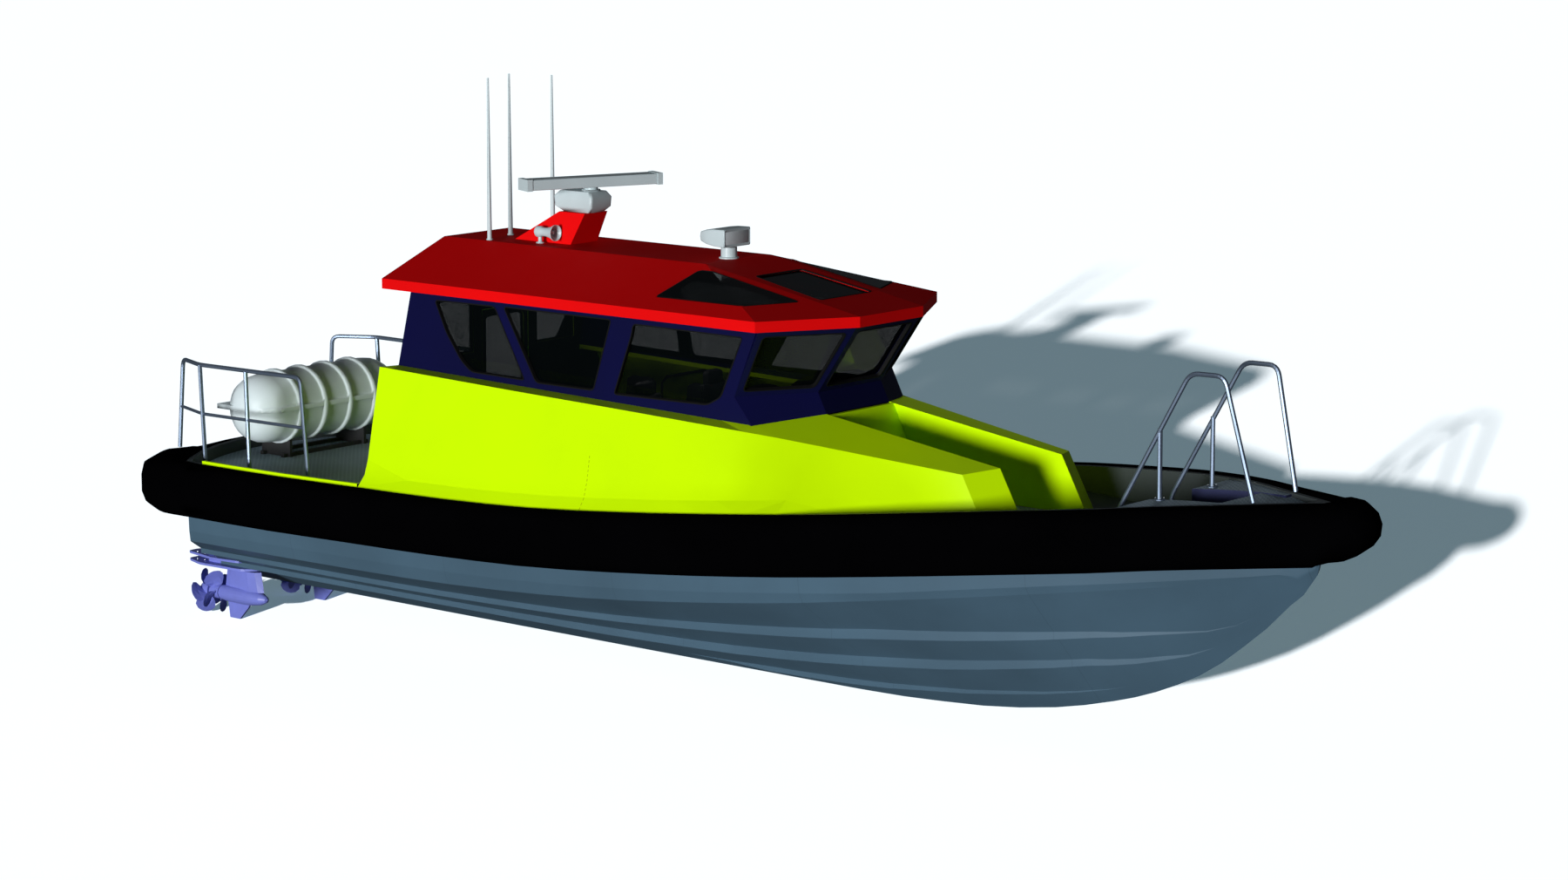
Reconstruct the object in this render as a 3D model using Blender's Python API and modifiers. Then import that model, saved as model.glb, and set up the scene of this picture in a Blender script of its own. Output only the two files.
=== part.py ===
# Crew transfer vessel, built as an assembly of separate named pieces.
# Metres. X points to the bow, Y to port, Z up. The origin is on the centreline at the waterline.
import math

import bmesh
import bpy
import numpy as np
from mathutils import Matrix, Vector

# Driving dimensions
GAP = 0.0004
STERN_X = -7.504
STERN_BOW = 0.224
AFT_DECK_Z = 0.828
CABIN_SOLE_Z = 0.750
FORE_DECK_Z = 1.300
BOW_DECK_Z = 1.745
CABIN_AFT_X = -3.600
CABIN_FORE_X = 1.800
BULWARK = 0.060
WALL = 0.045
ROOF_AFT_X = -3.957
ROOF_SIDE_X = 1.252
ROOF_NOSE_X = 1.814
ROOF_HALF = 1.474
ROOF_NOSE_HALF = 0.513
ROOF_LOW_Z = 3.109
ROOF_EDGE_Z = 3.219
ROOF_TOP_Z = 3.584
ROOF_TOP_FORE_X = -0.212
ROOF_TOP_HALF = 0.515
SILL_Z = 2.400
WALL_TOP_Z = ROOF_LOW_Z - GAP
POD_Y = 0.670
SHAFT_Z = -0.795

# Hull lines as x, half breadth, height
SHEER = [(-8.1, 1.80, 0.955), (-6.5, 1.81, 0.960), (-5.2, 1.85, 0.975), (-3.96, 1.90, 1.010),
         (-2.7, 1.925, 1.040), (-1.4, 1.94, 1.100), (-0.2, 1.935, 1.200), (0.9, 1.915, 1.310),
         (2.0, 1.87, 1.430), (3.0, 1.745, 1.545), (3.9, 1.53, 1.640), (4.6, 1.335, 1.710),
         (5.1, 1.148, 1.754), (5.6, 0.89, 1.800), (6.1, 0.59, 1.830), (6.6, 0.285, 1.860),
         (7.04, 0.012, 1.885)]
KNUCKLE = [(-8.1, 1.67, 0.120), (-6.9, 1.70, 0.145), (-5.6, 1.735, 0.170), (-4.2, 1.78, 0.195),
           (-2.9, 1.81, 0.230), (-1.6, 1.83, 0.290), (-0.4, 1.825, 0.375), (0.77, 1.806, 0.490),
           (1.87, 1.769, 0.615), (2.88, 1.652, 0.731), (3.79, 1.457, 0.856), (4.64, 1.219, 0.966),
           (5.42, 0.897, 1.051), (6.13, 0.495, 1.123), (6.55, 0.249, 1.173), (6.9, 0.05, 1.26),
           (7.04, 0.010, 1.84)]
CHINE = [(-8.1, 1.62, 0.005), (-6.9, 1.648, 0.020), (-4.28, 1.727, 0.056), (-2.94, 1.754, 0.086),
         (-1.65, 1.775, 0.150), (-0.44, 1.77, 0.240), (0.73, 1.754, 0.365), (1.83, 1.717, 0.502),
         (2.84, 1.604, 0.643), (3.75, 1.412, 0.765), (4.61, 1.176, 0.883), (5.42, 0.86, 0.985),
         (6.13, 0.46, 1.070), (6.55, 0.22, 1.140), (6.9, 0.035, 1.225), (7.04, 0.008, 1.82)]
KEEL = [(-8.1, 0, -0.730), (1.6, 0, -0.734), (2.7, 0, -0.691), (3.22, 0, -0.649),
        (3.75, 0, -0.576), (4.19, 0, -0.489), (4.82, 0, -0.315), (5.23, 0, -0.159),
        (5.63, 0, 0.039), (5.83, 0, 0.170), (6.03, 0, 0.326), (6.31, 0, 0.553),
        (6.59, 0, 0.829), (6.9, 0, 1.178), (7.04, 0, 1.800)]
STATIONS = [-8.1, -7.3, -6.5, -5.85, -5.2, -4.5, -3.96, -3.3, -2.7, -2.0, -1.4, -0.8, -0.2, 0.35, 0.9,
            1.45, 2.0, 2.5, 3.0, 3.45, 3.9, 4.25, 4.6, 4.85, 5.1, 5.35, 5.6, 5.85, 6.1, 6.35, 6.6,
            6.75, 6.9, 7.04]
# Spray strakes as x, fraction of the way from keel to chine, width as a fraction
STRAKES = [
    [(-0.35, 0.10, 0.0), (0.2, 0.119, 0.05), (1.1, 0.127, 0.052), (1.8, 0.143, 0.050), (2.5, 0.154, 0.036),
     (3.5, 0.160, 0.028), (4.1, 0.140, 0.018), (4.76, 0.105, 0.0)],
    [(-8.1, 0.47, 0.080), (-3.1, 0.450, 0.080), (-1.4, 0.430, 0.095), (0.4, 0.405, 0.090), (2.2, 0.447, 0.082),
     (3.8, 0.440, 0.070), (4.6, 0.401, 0.058), (5.4, 0.297, 0.040), (5.77, 0.200, 0.0)],
    [(-8.1, 0.78, 0.075), (-2.6, 0.762, 0.077), (-1.0, 0.725, 0.076), (0.9, 0.729, 0.085), (2.5, 0.735, 0.084),
     (3.1, 0.718, 0.076), (4.0, 0.689, 0.070), (4.8, 0.641, 0.056), (5.5, 0.540, 0.028), (6.2, 0.300, 0.0)],
]
# Depth of the foam collar along the hull
COLLAR = [(-8.1, 0.585), (-5.3, 0.590), (-2.3, 0.588), (-1.0, 0.600), (1.0, 0.610), (4.0, 0.602), (5.5, 0.590),
          (6.9, 0.575), (7.04, 0.572)]

PALETTE = {
    "hull": (0.045, 0.08, 0.115), "fender": (0.012, 0.012, 0.012), "lime": (0.60, 1.0, 0.0),
    "navy": (0.006, 0.006, 0.045), "red": (0.9, 0.008, 0.012), "deck": (0.045, 0.06, 0.075),
    "steel": (0.28, 0.36, 0.45), "drive": (0.22, 0.27, 0.55), "pale": (0.42, 0.47, 0.52),
    "glass": (0.02, 0.03, 0.03), "seat": (0.03, 0.03, 0.035), "black": (0.02, 0.02, 0.02),
}

for old in list(bpy.data.objects):
    bpy.data.objects.remove(old, do_unlink=True)

assembly = bpy.data.collections.new("crew_transfer_vessel")
bpy.context.scene.collection.children.link(assembly)
cutters = bpy.data.collections.new("cutters")
bpy.context.scene.collection.children.link(cutters)
cutters.hide_render = True

materials = {}
for paint, colour in PALETTE.items():
    mat = bpy.data.materials.new(paint)
    mat.use_nodes = True
    shader = mat.node_tree.nodes["Principled BSDF"]
    shader.inputs["Base Color"].default_value = (*colour, 1.0)
    shader.inputs["Roughness"].default_value = 0.45
    materials[paint] = mat


def at(table, x):
    """Reads y and z of a hull line at x with a smooth curve through its rows."""
    data = np.array(table, float)
    i = int(np.clip(np.searchsorted(data[:, 0], x) - 1, 0, len(data) - 2))
    x0, x1 = data[i, 0], data[i + 1, 0]
    t = (x - x0) / (x1 - x0)
    slopes = []
    for k in (i, i + 1):
        lo, hi = max(k - 1, 0), min(k + 1, len(data) - 1)
        slopes.append((data[hi, 1:] - data[lo, 1:]) / (data[hi, 0] - data[lo, 0]))
    h = x1 - x0
    a = 2 * t**3 - 3 * t**2 + 1
    b = t**3 - 2 * t**2 + t
    c = 3 * t**2 - 2 * t**3
    d = t**3 - t**2
    return a * data[i, 1:] + b * h * slopes[0] + c * data[i + 1, 1:] + d * h * slopes[1]


def line_at(rows, x):
    """Reads the columns of a short table at x along straight segments."""
    data = np.array(rows, float)
    return np.array([np.interp(x, data[:, 0], data[:, k]) for k in range(1, data.shape[1])])


def collar_depth(x):
    """Gives the height of the foam collar at x."""
    return float(line_at(COLLAR, x)[0])


def stern_x(y):
    """Gives x of the curved stern at a distance y off the centreline."""
    return STERN_X + STERN_BOW * y * y


def mesh_object(name, verts, faces, paint, smooth=False, keep=True):
    """Makes an object from vertex and face lists, welded and facing outward."""
    data = bpy.data.meshes.new(name)
    bm = bmesh.new()
    made = [bm.verts.new(v) for v in verts]
    for face in faces:
        corners = []
        for i in face:
            if made[i] not in corners:
                corners.append(made[i])
        if len(corners) > 2:
            bm.faces.new(corners)
    finish(bm, data)
    return link(name, data, paint, smooth, keep)


def finish(bm, data):
    """Welds, drops empty faces and turns all faces outward."""
    bmesh.ops.remove_doubles(bm, verts=bm.verts, dist=0.00002)
    bmesh.ops.dissolve_degenerate(bm, edges=bm.edges, dist=0.00002)
    bmesh.ops.recalc_face_normals(bm, faces=bm.faces)
    bm.to_mesh(data)
    bm.free()


def link(name, data, paint, smooth=False, keep=True):
    """Puts mesh data in the scene as a named piece or as a cutter."""
    obj = bpy.data.objects.new(name, data)
    if paint:
        data.materials.append(materials[paint])
    if smooth:
        for face in data.polygons:
            face.use_smooth = True
    if keep:
        assembly.objects.link(obj)
    else:
        cutters.objects.link(obj)
        obj.hide_render = True
        obj.display_type = "WIRE"
    return obj


def loft(name, rings, paint, closed=False, keep=True, smooth=False, split=None):
    """Joins equal rings of points by quads, with caps unless the loft closes on itself."""
    count = len(rings[0])
    verts = [tuple(p) for ring in rings for p in ring]
    faces = []
    for i in range(len(rings) if closed else len(rings) - 1):
        j = (i + 1) % len(rings)
        for k in range(count):
            n = (k + 1) % count
            a, b, c, d = i * count + k, i * count + n, j * count + n, j * count + k
            way = split(i, k) if split else 0
            if way == 1:
                faces += [(a, b, c), (a, c, d)]
            elif way == 2:
                faces += [(a, b, d), (b, c, d)]
            else:
                faces.append((a, b, c, d))
    if not closed:
        faces.append(tuple(range(count)))
        faces.append(tuple((len(rings) - 1) * count + k for k in reversed(range(count))))
    return mesh_object(name, verts, faces, paint, smooth, keep)


def prism(name, outline, axis, low, high, paint=None, keep=False):
    """Extrudes a flat outline along x, y or z between two heights."""
    def place(u, v, w):
        return {"x": (w, u, v), "y": (u, w, v), "z": (u, v, w)}[axis]
    rings = [[place(u, v, w) for u, v in outline] for w in (low, high)]
    return loft(name, rings, paint, keep=keep)


def box(name, low, high, paint=None, keep=False, bevel=0.0, segments=2):
    """Makes a box between two corners, with rounded edges if asked."""
    bm = bmesh.new()
    bmesh.ops.create_cube(bm, size=1.0)
    for v in bm.verts:
        v.co = Vector([low[i] + (v.co[i] + 0.5) * (high[i] - low[i]) for i in range(3)])
    if bevel:
        bmesh.ops.bevel(bm, geom=bm.edges[:], offset=bevel, segments=segments, affect="EDGES", profile=0.5)
    data = bpy.data.meshes.new(name)
    finish(bm, data)
    return link(name, data, paint, keep=keep)


def rounded(points, radius, steps=4):
    """Rounds the corners of a flat outline."""
    out = []
    count = len(points)
    for i in range(count):
        p, q, r = (Vector(points[(i + k) % count]) for k in (-1, 0, 1))
        reach = min(radius, (p - q).length * 0.45, (r - q).length * 0.45)
        a = q + (p - q).normalized() * reach
        b = q + (r - q).normalized() * reach
        for k in range(steps + 1):
            t = k / steps
            out.append(tuple(a * (1 - t)**2 + q * 2 * t * (1 - t) + b * t * t))
    return out


def boolean(obj, other, how="DIFFERENCE"):
    """Applies one exact boolean and leaves the cutter hidden."""
    mod = obj.modifiers.new("cut", "BOOLEAN")
    mod.operation = how
    mod.solver = "EXACT"
    mod.object = other
    bpy.context.view_layer.update()
    graph = bpy.context.evaluated_depsgraph_get()
    data = bpy.data.meshes.new_from_object(obj.evaluated_get(graph))
    obj.modifiers.clear()
    old = obj.data
    obj.data = data
    bpy.data.meshes.remove(old)
    return obj


def cut(obj, *others):
    """Subtracts every cutter and removes it."""
    for other in others:
        boolean(obj, other)
        bpy.data.objects.remove(other, do_unlink=True)
    return obj


def union(obj, *others):
    """Adds every body and removes its source."""
    for other in others:
        boolean(obj, other, "UNION")
        bpy.data.objects.remove(other, do_unlink=True)
    return obj


def smooth_by_angle(obj, degrees=35):
    """Shades smooth with sharp edges kept above an angle."""
    bm = bmesh.new()
    bm.from_mesh(obj.data)
    limit = math.radians(degrees)
    for face in bm.faces:
        face.smooth = True
    for edge in bm.edges:
        if len(edge.link_faces) == 2:
            edge.smooth = edge.calc_face_angle(0) < limit
    bm.to_mesh(obj.data)
    bm.free()
    return obj


def fillet_path(points, radius, steps=5):
    """Rounds the inner corners of an open 3-D path."""
    pts = [Vector(p) for p in points]
    out = [pts[0]]
    for p, q, r in zip(pts, pts[1:], pts[2:]):
        reach = min(radius, (p - q).length * 0.45, (r - q).length * 0.45)
        a = q + (p - q).normalized() * reach
        b = q + (r - q).normalized() * reach
        for k in range(steps + 1):
            t = k / steps
            out.append(a * (1 - t)**2 + q * 2 * t * (1 - t) + b * t * t)
    out.append(pts[-1])
    return out


def tube(name, points, radius, paint, bend=0.0, keep=False, resolution=2):
    """Makes a round bar along a path."""
    path = fillet_path(points, bend) if bend else [Vector(p) for p in points]
    curve = bpy.data.curves.new(name, "CURVE")
    curve.dimensions = "3D"
    curve.bevel_depth = radius
    curve.bevel_resolution = resolution
    curve.use_fill_caps = True
    spline = curve.splines.new("POLY")
    spline.points.add(len(path) - 1)
    for point, co in zip(spline.points, path):
        point.co = (*co, 1.0)
    temp = bpy.data.objects.new(name + "_path", curve)
    bpy.context.scene.collection.objects.link(temp)
    bpy.context.view_layer.update()
    graph = bpy.context.evaluated_depsgraph_get()
    data = bpy.data.meshes.new_from_object(temp.evaluated_get(graph))
    bpy.data.objects.remove(temp, do_unlink=True)
    data.materials.clear()
    bm = bmesh.new()
    bm.from_mesh(data)
    finish(bm, data)
    return link(name, data, paint, smooth=True, keep=keep)


def turned(name, profile, centre, axis, paint, steps=32, keep=True):
    """Spins a radius-and-height profile about an axis through a point."""
    rings = []
    for k in range(steps):
        a = math.tau * k / steps
        ring = []
        for radius, height in profile:
            u, v = radius * math.cos(a), radius * math.sin(a)
            offset = {"x": (height, u, v), "y": (u, height, v), "z": (u, v, height)}[axis]
            ring.append(tuple(c + o for c, o in zip(centre, offset)))
        rings.append(ring)
    count = len(profile)
    verts = [p for ring in rings for p in ring]
    faces = []
    for i in range(steps):
        j = (i + 1) % steps
        for k in range(count - 1):
            faces.append((i * count + k, i * count + k + 1, j * count + k + 1, j * count + k))
    return smooth_by_angle(mesh_object(name, verts, faces, paint, keep=keep))


def inflated(name, obj, amount):
    """Makes a cutter that is a copy of a piece with its faces moved outward."""
    data = obj.data.copy()
    bm = bmesh.new()
    bm.from_mesh(data)
    moved = []
    for v in bm.verts:
        shift = Vector((0, 0, 0))
        normals = []
        for face in v.link_faces:
            if not any((face.normal - n).length < 0.02 for n in normals):
                normals.append(face.normal.copy())
        if normals:
            a = np.array([list(n) for n in normals])
            solved = np.linalg.lstsq(a, np.full(len(a), amount), rcond=0.05)[0]
            length = float(np.linalg.norm(solved))
            if length > 3 * amount:
                solved *= 3 * amount / length
            shift = Vector(solved)
        moved.append(v.co + shift)
    for v, co in zip(bm.verts, moved):
        v.co = co
    bm.to_mesh(data)
    bm.free()
    data.materials.clear()
    copy = link(name, data, None, keep=False)
    copy.matrix_world = obj.matrix_world
    bpy.context.view_layer.update()
    return copy


def keep_largest(obj):
    """Drops loose offcuts that a trim leaves beside the main body."""
    bm = bmesh.new()
    bm.from_mesh(obj.data)
    left = set(bm.verts)
    groups = []
    while left:
        stack = [left.pop()]
        group = set(stack)
        while stack:
            for edge in stack.pop().link_edges:
                for other in edge.verts:
                    if other in left:
                        left.discard(other)
                        group.add(other)
                        stack.append(other)
        groups.append(group)
    groups.sort(key=len)
    loose = [v for group in groups[:-1] for v in group]
    bmesh.ops.delete(bm, geom=loose, context="VERTS")
    bm.to_mesh(obj.data)
    bm.free()
    return obj


def set_origin(obj, origin, parent=None):
    """Moves an object's origin to a joint point without moving its shape."""
    obj.data.transform(Matrix.Translation(-Vector(origin)))
    obj.location = Vector(origin)
    if parent:
        obj.parent = parent
        obj.location = Vector(origin) - parent.matrix_world.translation
    bpy.context.view_layer.update()
    return obj


def topside_y(x, z):
    """Gives the half breadth of the topside at x and height z."""
    knuckle, sheer = at(KNUCKLE, x), at(SHEER, x)
    t = np.clip((z - knuckle[1]) / max(sheer[1] - knuckle[1], 1e-6), 0, 1)
    return knuckle[0] + t * (sheer[0] - knuckle[0])


def hull_ring(x):
    """Gives the closed section of the hull at x, keel first, then port, deck and starboard."""
    keel, chine, knuckle, sheer = (at(t, x) for t in (KEEL, CHINE, KNUCKLE, SHEER))
    half = [(0.0, keel[1])]
    for strake in STRAKES:
        fraction, width = line_at(strake, x)
        inner = keel + (chine - keel) * (fraction - width)
        outer = keel + (chine - keel) * fraction
        half.append((inner[0], inner[1]))
        half.append((outer[0], inner[1] + 0.06 * (outer[1] - inner[1])))
        half.append((outer[0], outer[1]))
    half.append((chine[0], chine[1]))
    half.append((knuckle[0], knuckle[1]))
    low = max(sheer[1] - collar_depth(x), knuckle[1])
    half.append((topside_y(x, low), low))
    half.append((sheer[0], sheer[1]))
    ring = [(x, y, z) for y, z in half]
    ring.append((x, 0.0, sheer[1]))
    ring += [(x, -y, z) for y, z in reversed(half[1:])]
    return ring


def plan_ring(inset, start, end, count=24):
    """Gives a plan outline that follows the sheer line inside by an inset."""
    xs = np.linspace(start, end, count)
    port = [(x, max(at(SHEER, x)[0] - inset, 0.004)) for x in xs]
    return [(x, y) for x, y in port] + [(x, -y) for x, y in reversed(port)]


def well(name, start, end, floor, inset_by, count):
    """Makes the body of a deck well whose walls follow the topsides."""
    rings = []
    for x in np.linspace(start, end, count):
        low = max(topside_y(x, floor) - inset_by, 0.006)
        high = max(at(SHEER, x)[0] - inset_by, 0.008)
        rim = max(at(SHEER, x)[1], floor + 0.01)
        half = [(low, floor), (high, rim), (high, 2.3)]
        rings.append([(x, y, z) for y, z in half] + [(x, -y, z) for y, z in reversed(half)])
    return loft(name, rings, None, keep=False)


def stern_block(name, setback):
    """Makes the body behind the curved stern, used to trim what reaches too far aft."""
    ys = np.linspace(-2.8, 2.8, 15)
    outline = [(-9.5, 2.8), (-9.5, -2.8)] + [(stern_x(y) + setback, y) for y in ys]
    return prism(name, outline, "z", -1.5, 3.5)


# Hull, one decked body with wells for the cabin and the foredeck
def hull_split(i, k):
    """Splits the topside quads behind the collar the same way on both sides."""
    rim = 3 * len(STRAKES) + 3
    return {rim: 1, rim + 3: 2}.get(k, 0)


hull = loft("hull", [hull_ring(x) for x in STATIONS], "hull", split=hull_split)
cut(hull, stern_block("stern_trim", 0.0))
aft_well = well("aft_well", -8.3, CABIN_AFT_X, AFT_DECK_Z, BULWARK, 14)
cut(aft_well, stern_block("stern_trim", 0.07))
cabin_well = well("cabin_well", CABIN_AFT_X, CABIN_FORE_X, CABIN_SOLE_Z, BULWARK + 0.02, 14)
fore_well = well("fore_well", CABIN_FORE_X, 6.0, FORE_DECK_Z, BULWARK, 24)
bow_well = well("bow_well", 5.99, 6.82, BOW_DECK_Z, BULWARK, 10)
cut(hull, aft_well, cabin_well, fore_well, bow_well)
smooth_by_angle(hull, 12)

# Foam collar, a U round the bow and sides and a separate block across the stern
PROFILE = [(0.0, 0.0), (0.11, 0.014), (0.195, -0.01), (0.255, -0.08), (0.27, -0.18), (0.27, -0.36),
           (0.25, -0.46), (0.20, -0.525), (0.10, -0.545)]


def collar_ring(x, side):
    """Gives a collar section at x on one side, its inner face on the topside."""
    y, z = at(SHEER, x)
    ahead, behind = at(SHEER, min(x + 0.05, 7.04)), at(SHEER, x - 0.05)
    slope = (ahead[0] - behind[0]) / (min(x + 0.05, 7.04) - (x - 0.05))
    normal = Vector((-slope, 1.0)).normalized()
    swell = float(np.interp(x, [-8, 4.0, 6.0, 7.04], [1.0, 1.0, 1.18, 1.56]))
    deep = collar_depth(x) / -PROFILE[-1][1]
    ring = []
    for out, up in PROFILE:
        px = x + normal.x * out * swell
        py = y + 0.0006 + normal.y * out * swell
        ring.append((px, side * py, z + (up * deep if up < 0 else up)))
    low = z - collar_depth(x)
    ring.append((x, side * (topside_y(x, low) + 0.0006), low))
    return ring


collar_x = [x for x in STATIONS if -6.6 < x < 7.0]
port_rings = [collar_ring(x, 1) for x in collar_x]
starboard_rings = [collar_ring(x, -1) for x in collar_x]
# Rounded nose ahead of the stem as radius and height
NOSE = [(0.02, 1.886), (0.19, 1.930), (0.335, 1.890), (0.425, 1.805), (0.462, 1.700), (0.450, 1.585), (0.385, 1.490),
        (0.270, 1.410), (0.130, 1.345)]
nose = []
for angle in (60, 30, 0, -30, -60):
    a = math.radians(angle)
    ring = [(7.05 + reach * math.cos(a), reach * math.sin(a), z) for reach, z in NOSE]
    ring.append((6.957 + 0.004 * math.cos(a), 0.03 * math.sin(a), 1.30))
    nose.append(ring)


def collar_split(i, k):
    """Splits the inner quads of the collar as the topside behind them is split."""
    last = len(PROFILE)
    if k != last:
        return 0
    if i < len(port_rings) - 1:
        return 1
    return 2 if i >= len(port_rings) + len(nose) else 0


collar = loft("fender_collar", port_rings + nose + list(reversed(starboard_rings)), "fender", split=collar_split)
smooth_by_angle(collar, 50)


def curve_point(points, t):
    """Gives the point at t along a smooth curve through all the points."""
    i = min(int(t), len(points) - 2)
    u = t - i
    a, b, c, d = (Vector(points[max(0, min(len(points) - 1, i + k))]) for k in (-1, 0, 1, 2))
    point = 0.5 * (2 * b + (c - a) * u + (2 * a - 5 * b + 4 * c - d) * u ** 2 + (3 * b - a - 3 * c + d) * u ** 3)
    return point.x, point.y


def stern_collar():
    """Makes the collar block across the stern, raised at each quarter."""
    marks = [k * 0.4 for k in range(5)]
    chords = [stern_x(y) for y in marks]
    inner = [(-6.512, 1.8115), (-6.776, 1.8115)]
    inner += [(float(np.interp(y, marks, chords)), y) for y in (1.6, 1.35, 1.2, 1.0, 0.94, 0.8, 0.4, 0.0)]
    outer = [(-6.512, 2.081), (-6.98, 2.075), (-7.385, 1.915), (-7.60, 1.62), (-7.70, 1.40), (-7.80, 1.10),
             (-7.82, 1.02), (-7.85, 0.82), (-7.89, 0.42), (-7.91, 0.0)]
    rise = [0.0, 0.012, 0.016, 0.016, 0.010, -0.03, -0.06, -0.08, -0.08, -0.08]
    half = []
    fine = [k / 3 for k in range(3 * (len(inner) - 1) + 1)]
    steps = range(len(inner))
    inner = [(float(np.interp(t, steps, [p[0] for p in inner])), float(np.interp(t, steps, [p[1] for p in inner])))
             for t in fine]
    outer = [curve_point(outer, t) for t in fine]
    rise = [float(np.interp(t, steps, rise)) for t in fine]
    for (ix, iy), (ox, oy), up_by in zip(inner, outer, rise):
        deep = collar_depth(ix) / -PROFILE[-1][1]
        ring = []
        for out, up in PROFILE:
            t = out / 0.27
            lift = (up_by if up_by > 0 else up_by * min(1, t / 0.72)) if up > -0.09 else 0.0
            height = 0.9598 + (up * deep if up < 0 else up) + lift
            ring.append((ix + (ox - ix) * t - 0.0006, iy + (oy - iy) * t, height))
        ring.append((ix - 0.0006, iy, 0.9598 - collar_depth(ix)))
        half.append(ring)
    other = [[(x, -y, z) for x, y, z in ring] for ring in reversed(half[:-1])]
    return loft("fender_stern", half + other, "fender")


fender_stern = stern_collar()
smooth_by_angle(fender_stern, 50)

# Deck pieces
deck_path = [(x, at(SHEER, x)[0] - 0.03) for x in (-3.965, -4.5, -5.2, -5.85, -6.50)]


def rim_z(x):
    """Gives the height just over the hull's rim, straight between its stations."""
    return float(np.interp(x, STATIONS, [at(SHEER, station)[1] for station in STATIONS])) + 0.0006


def strip(name, path, width, height, base, paint):
    """Makes a low upright strip along a plan path, its foot at base(x)."""
    rings = []
    for i, (x, y) in enumerate(path):
        p, r = path[max(i - 1, 0)], path[min(i + 1, len(path) - 1)]
        along = Vector((r[0] - p[0], r[1] - p[1])).normalized()
        nx, ny = -along.y * width / 2, along.x * width / 2
        z = base(x)
        rings.append([(x + nx, y + ny, z), (x - nx, y - ny, z), (x - nx, y - ny, z + height),
                      (x + nx, y + ny, z + height)])
    return loft(name, rings, paint)


for side, label in ((1, "port"), (-1, "starboard")):
    strip(f"deck_edge_{label}", [(x, side * y) for x, y in deck_path], 0.040, 0.036, rim_z, "lime")

aft_deck = prism("aft_deck", plan_ring(0.11, -8.3, CABIN_AFT_X - 0.02, 14), "z", AFT_DECK_Z + GAP,
                 AFT_DECK_Z + 0.014, "deck", keep=True)
cut(aft_deck, stern_block("stern_trim", 0.12))

walk = [(1.90, 0.46), (3.93, 0.46)]
walk += [(x, topside_y(x, FORE_DECK_Z) - 0.10) for x in np.linspace(4.02, 5.18, 8)]
fore_deck = prism("fore_deck", walk + [(x, -y) for x, y in reversed(walk)], "z", FORE_DECK_Z + GAP,
                  FORE_DECK_Z + 0.014, "deck", keep=True)


def bow_platform():
    """Makes the raised bow deck with a ledge along each side."""
    plan = [(x, topside_y(x, BOW_DECK_Z) - BULWARK - 0.003) for x in np.linspace(6.03, 6.72, 9)]
    plan += [(x, -y) for x, y in reversed(plan)]
    body = prism("bow_platform", plan, "z", BOW_DECK_Z + GAP, 1.810, "deck", keep=True)
    for side in (1, -1):
        rings = []
        for x in (5.23, 5.5, 5.75, 5.998):
            outer = at(SHEER, x)[0] - BULWARK - 0.002
            top = at(SHEER, x)[1] - 0.012
            low = topside_y(x, FORE_DECK_Z) - BULWARK - 0.003
            rings.append([(x, side * 0.36, FORE_DECK_Z + GAP), (x, side * low, FORE_DECK_Z + GAP),
                          (x, side * (outer - 0.001), top), (x, side * 0.36, top)])
        aft = loft("ledge_aft", rings, None, keep=False)
        rings = []
        for x in (5.99, 6.12, 6.25, 6.36):
            outer = at(SHEER, x)[0] - BULWARK - 0.002
            inner = np.interp(x, [5.99, 6.36], [0.36, 0.27])
            top = at(SHEER, x)[1] - 0.012
            low = topside_y(x, BOW_DECK_Z) - BULWARK - 0.003
            rings.append([(x, side * inner, BOW_DECK_Z + GAP), (x, side * low, BOW_DECK_Z + GAP),
                          (x, side * (outer - 0.001), top), (x, side * inner, top)])
        fore = loft("ledge_fore", rings, None, keep=False)
        union(body, aft, fore)
    return body


bow = bow_platform()

# Deckhouse mouldings, one each side, open inward
EDGE = [(-3.957, 1.527, 2.270), (-1.84, 1.535, 2.206), (-0.64, 1.524, 2.171), (0.504, 1.488, 2.126),
        (1.457, 1.268, 2.042), (2.412, 1.078, 1.947), (3.387, 0.885, 1.851)]
INNER = [(-3.957, 1.2507, 2.254), (1.002, 1.227, 2.123), (1.383, 0.509, 2.190), (3.567, 0.511, 1.884)]
# How far the side curves in from a straight line just over its foot
HOLLOW = [(-3.957, 0.080), (-1.0, 0.055), (0.9, 0.035), (2.4, 0.020), (3.7, 0.020)]


def house_column(x):
    """Gives foot, flare, shoulder and inner top points of the side moulding at x."""
    foot_y, foot_z = at(SHEER, x)[0] - 0.013, at(SHEER, x)[1] + GAP
    if x > 1.9:
        foot_y = np.interp(x, [1.9, 2.412, 3.0, 3.69], [foot_y, 1.60, 1.27, 0.89])
        foot_z = FORE_DECK_Z + 0.0005 if x > 2.0 else foot_z
    edge_y, edge_z = line_at(EDGE, x)
    inner_y, inner_z = line_at(INNER, x)
    inset = 0.052 if x < 1.01 else 0.0
    hollow = line_at(HOLLOW, x)[0]
    lean = (edge_y - foot_y) / (edge_z - foot_z)
    return [(x, foot_y, foot_z), (x, foot_y + 0.12 * lean - 0.9 * hollow, foot_z + 0.12),
            (x, foot_y + 0.28 * lean - hollow, foot_z + 0.28), (x, edge_y, edge_z), (x, inner_y - inset, inner_z)]


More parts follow.
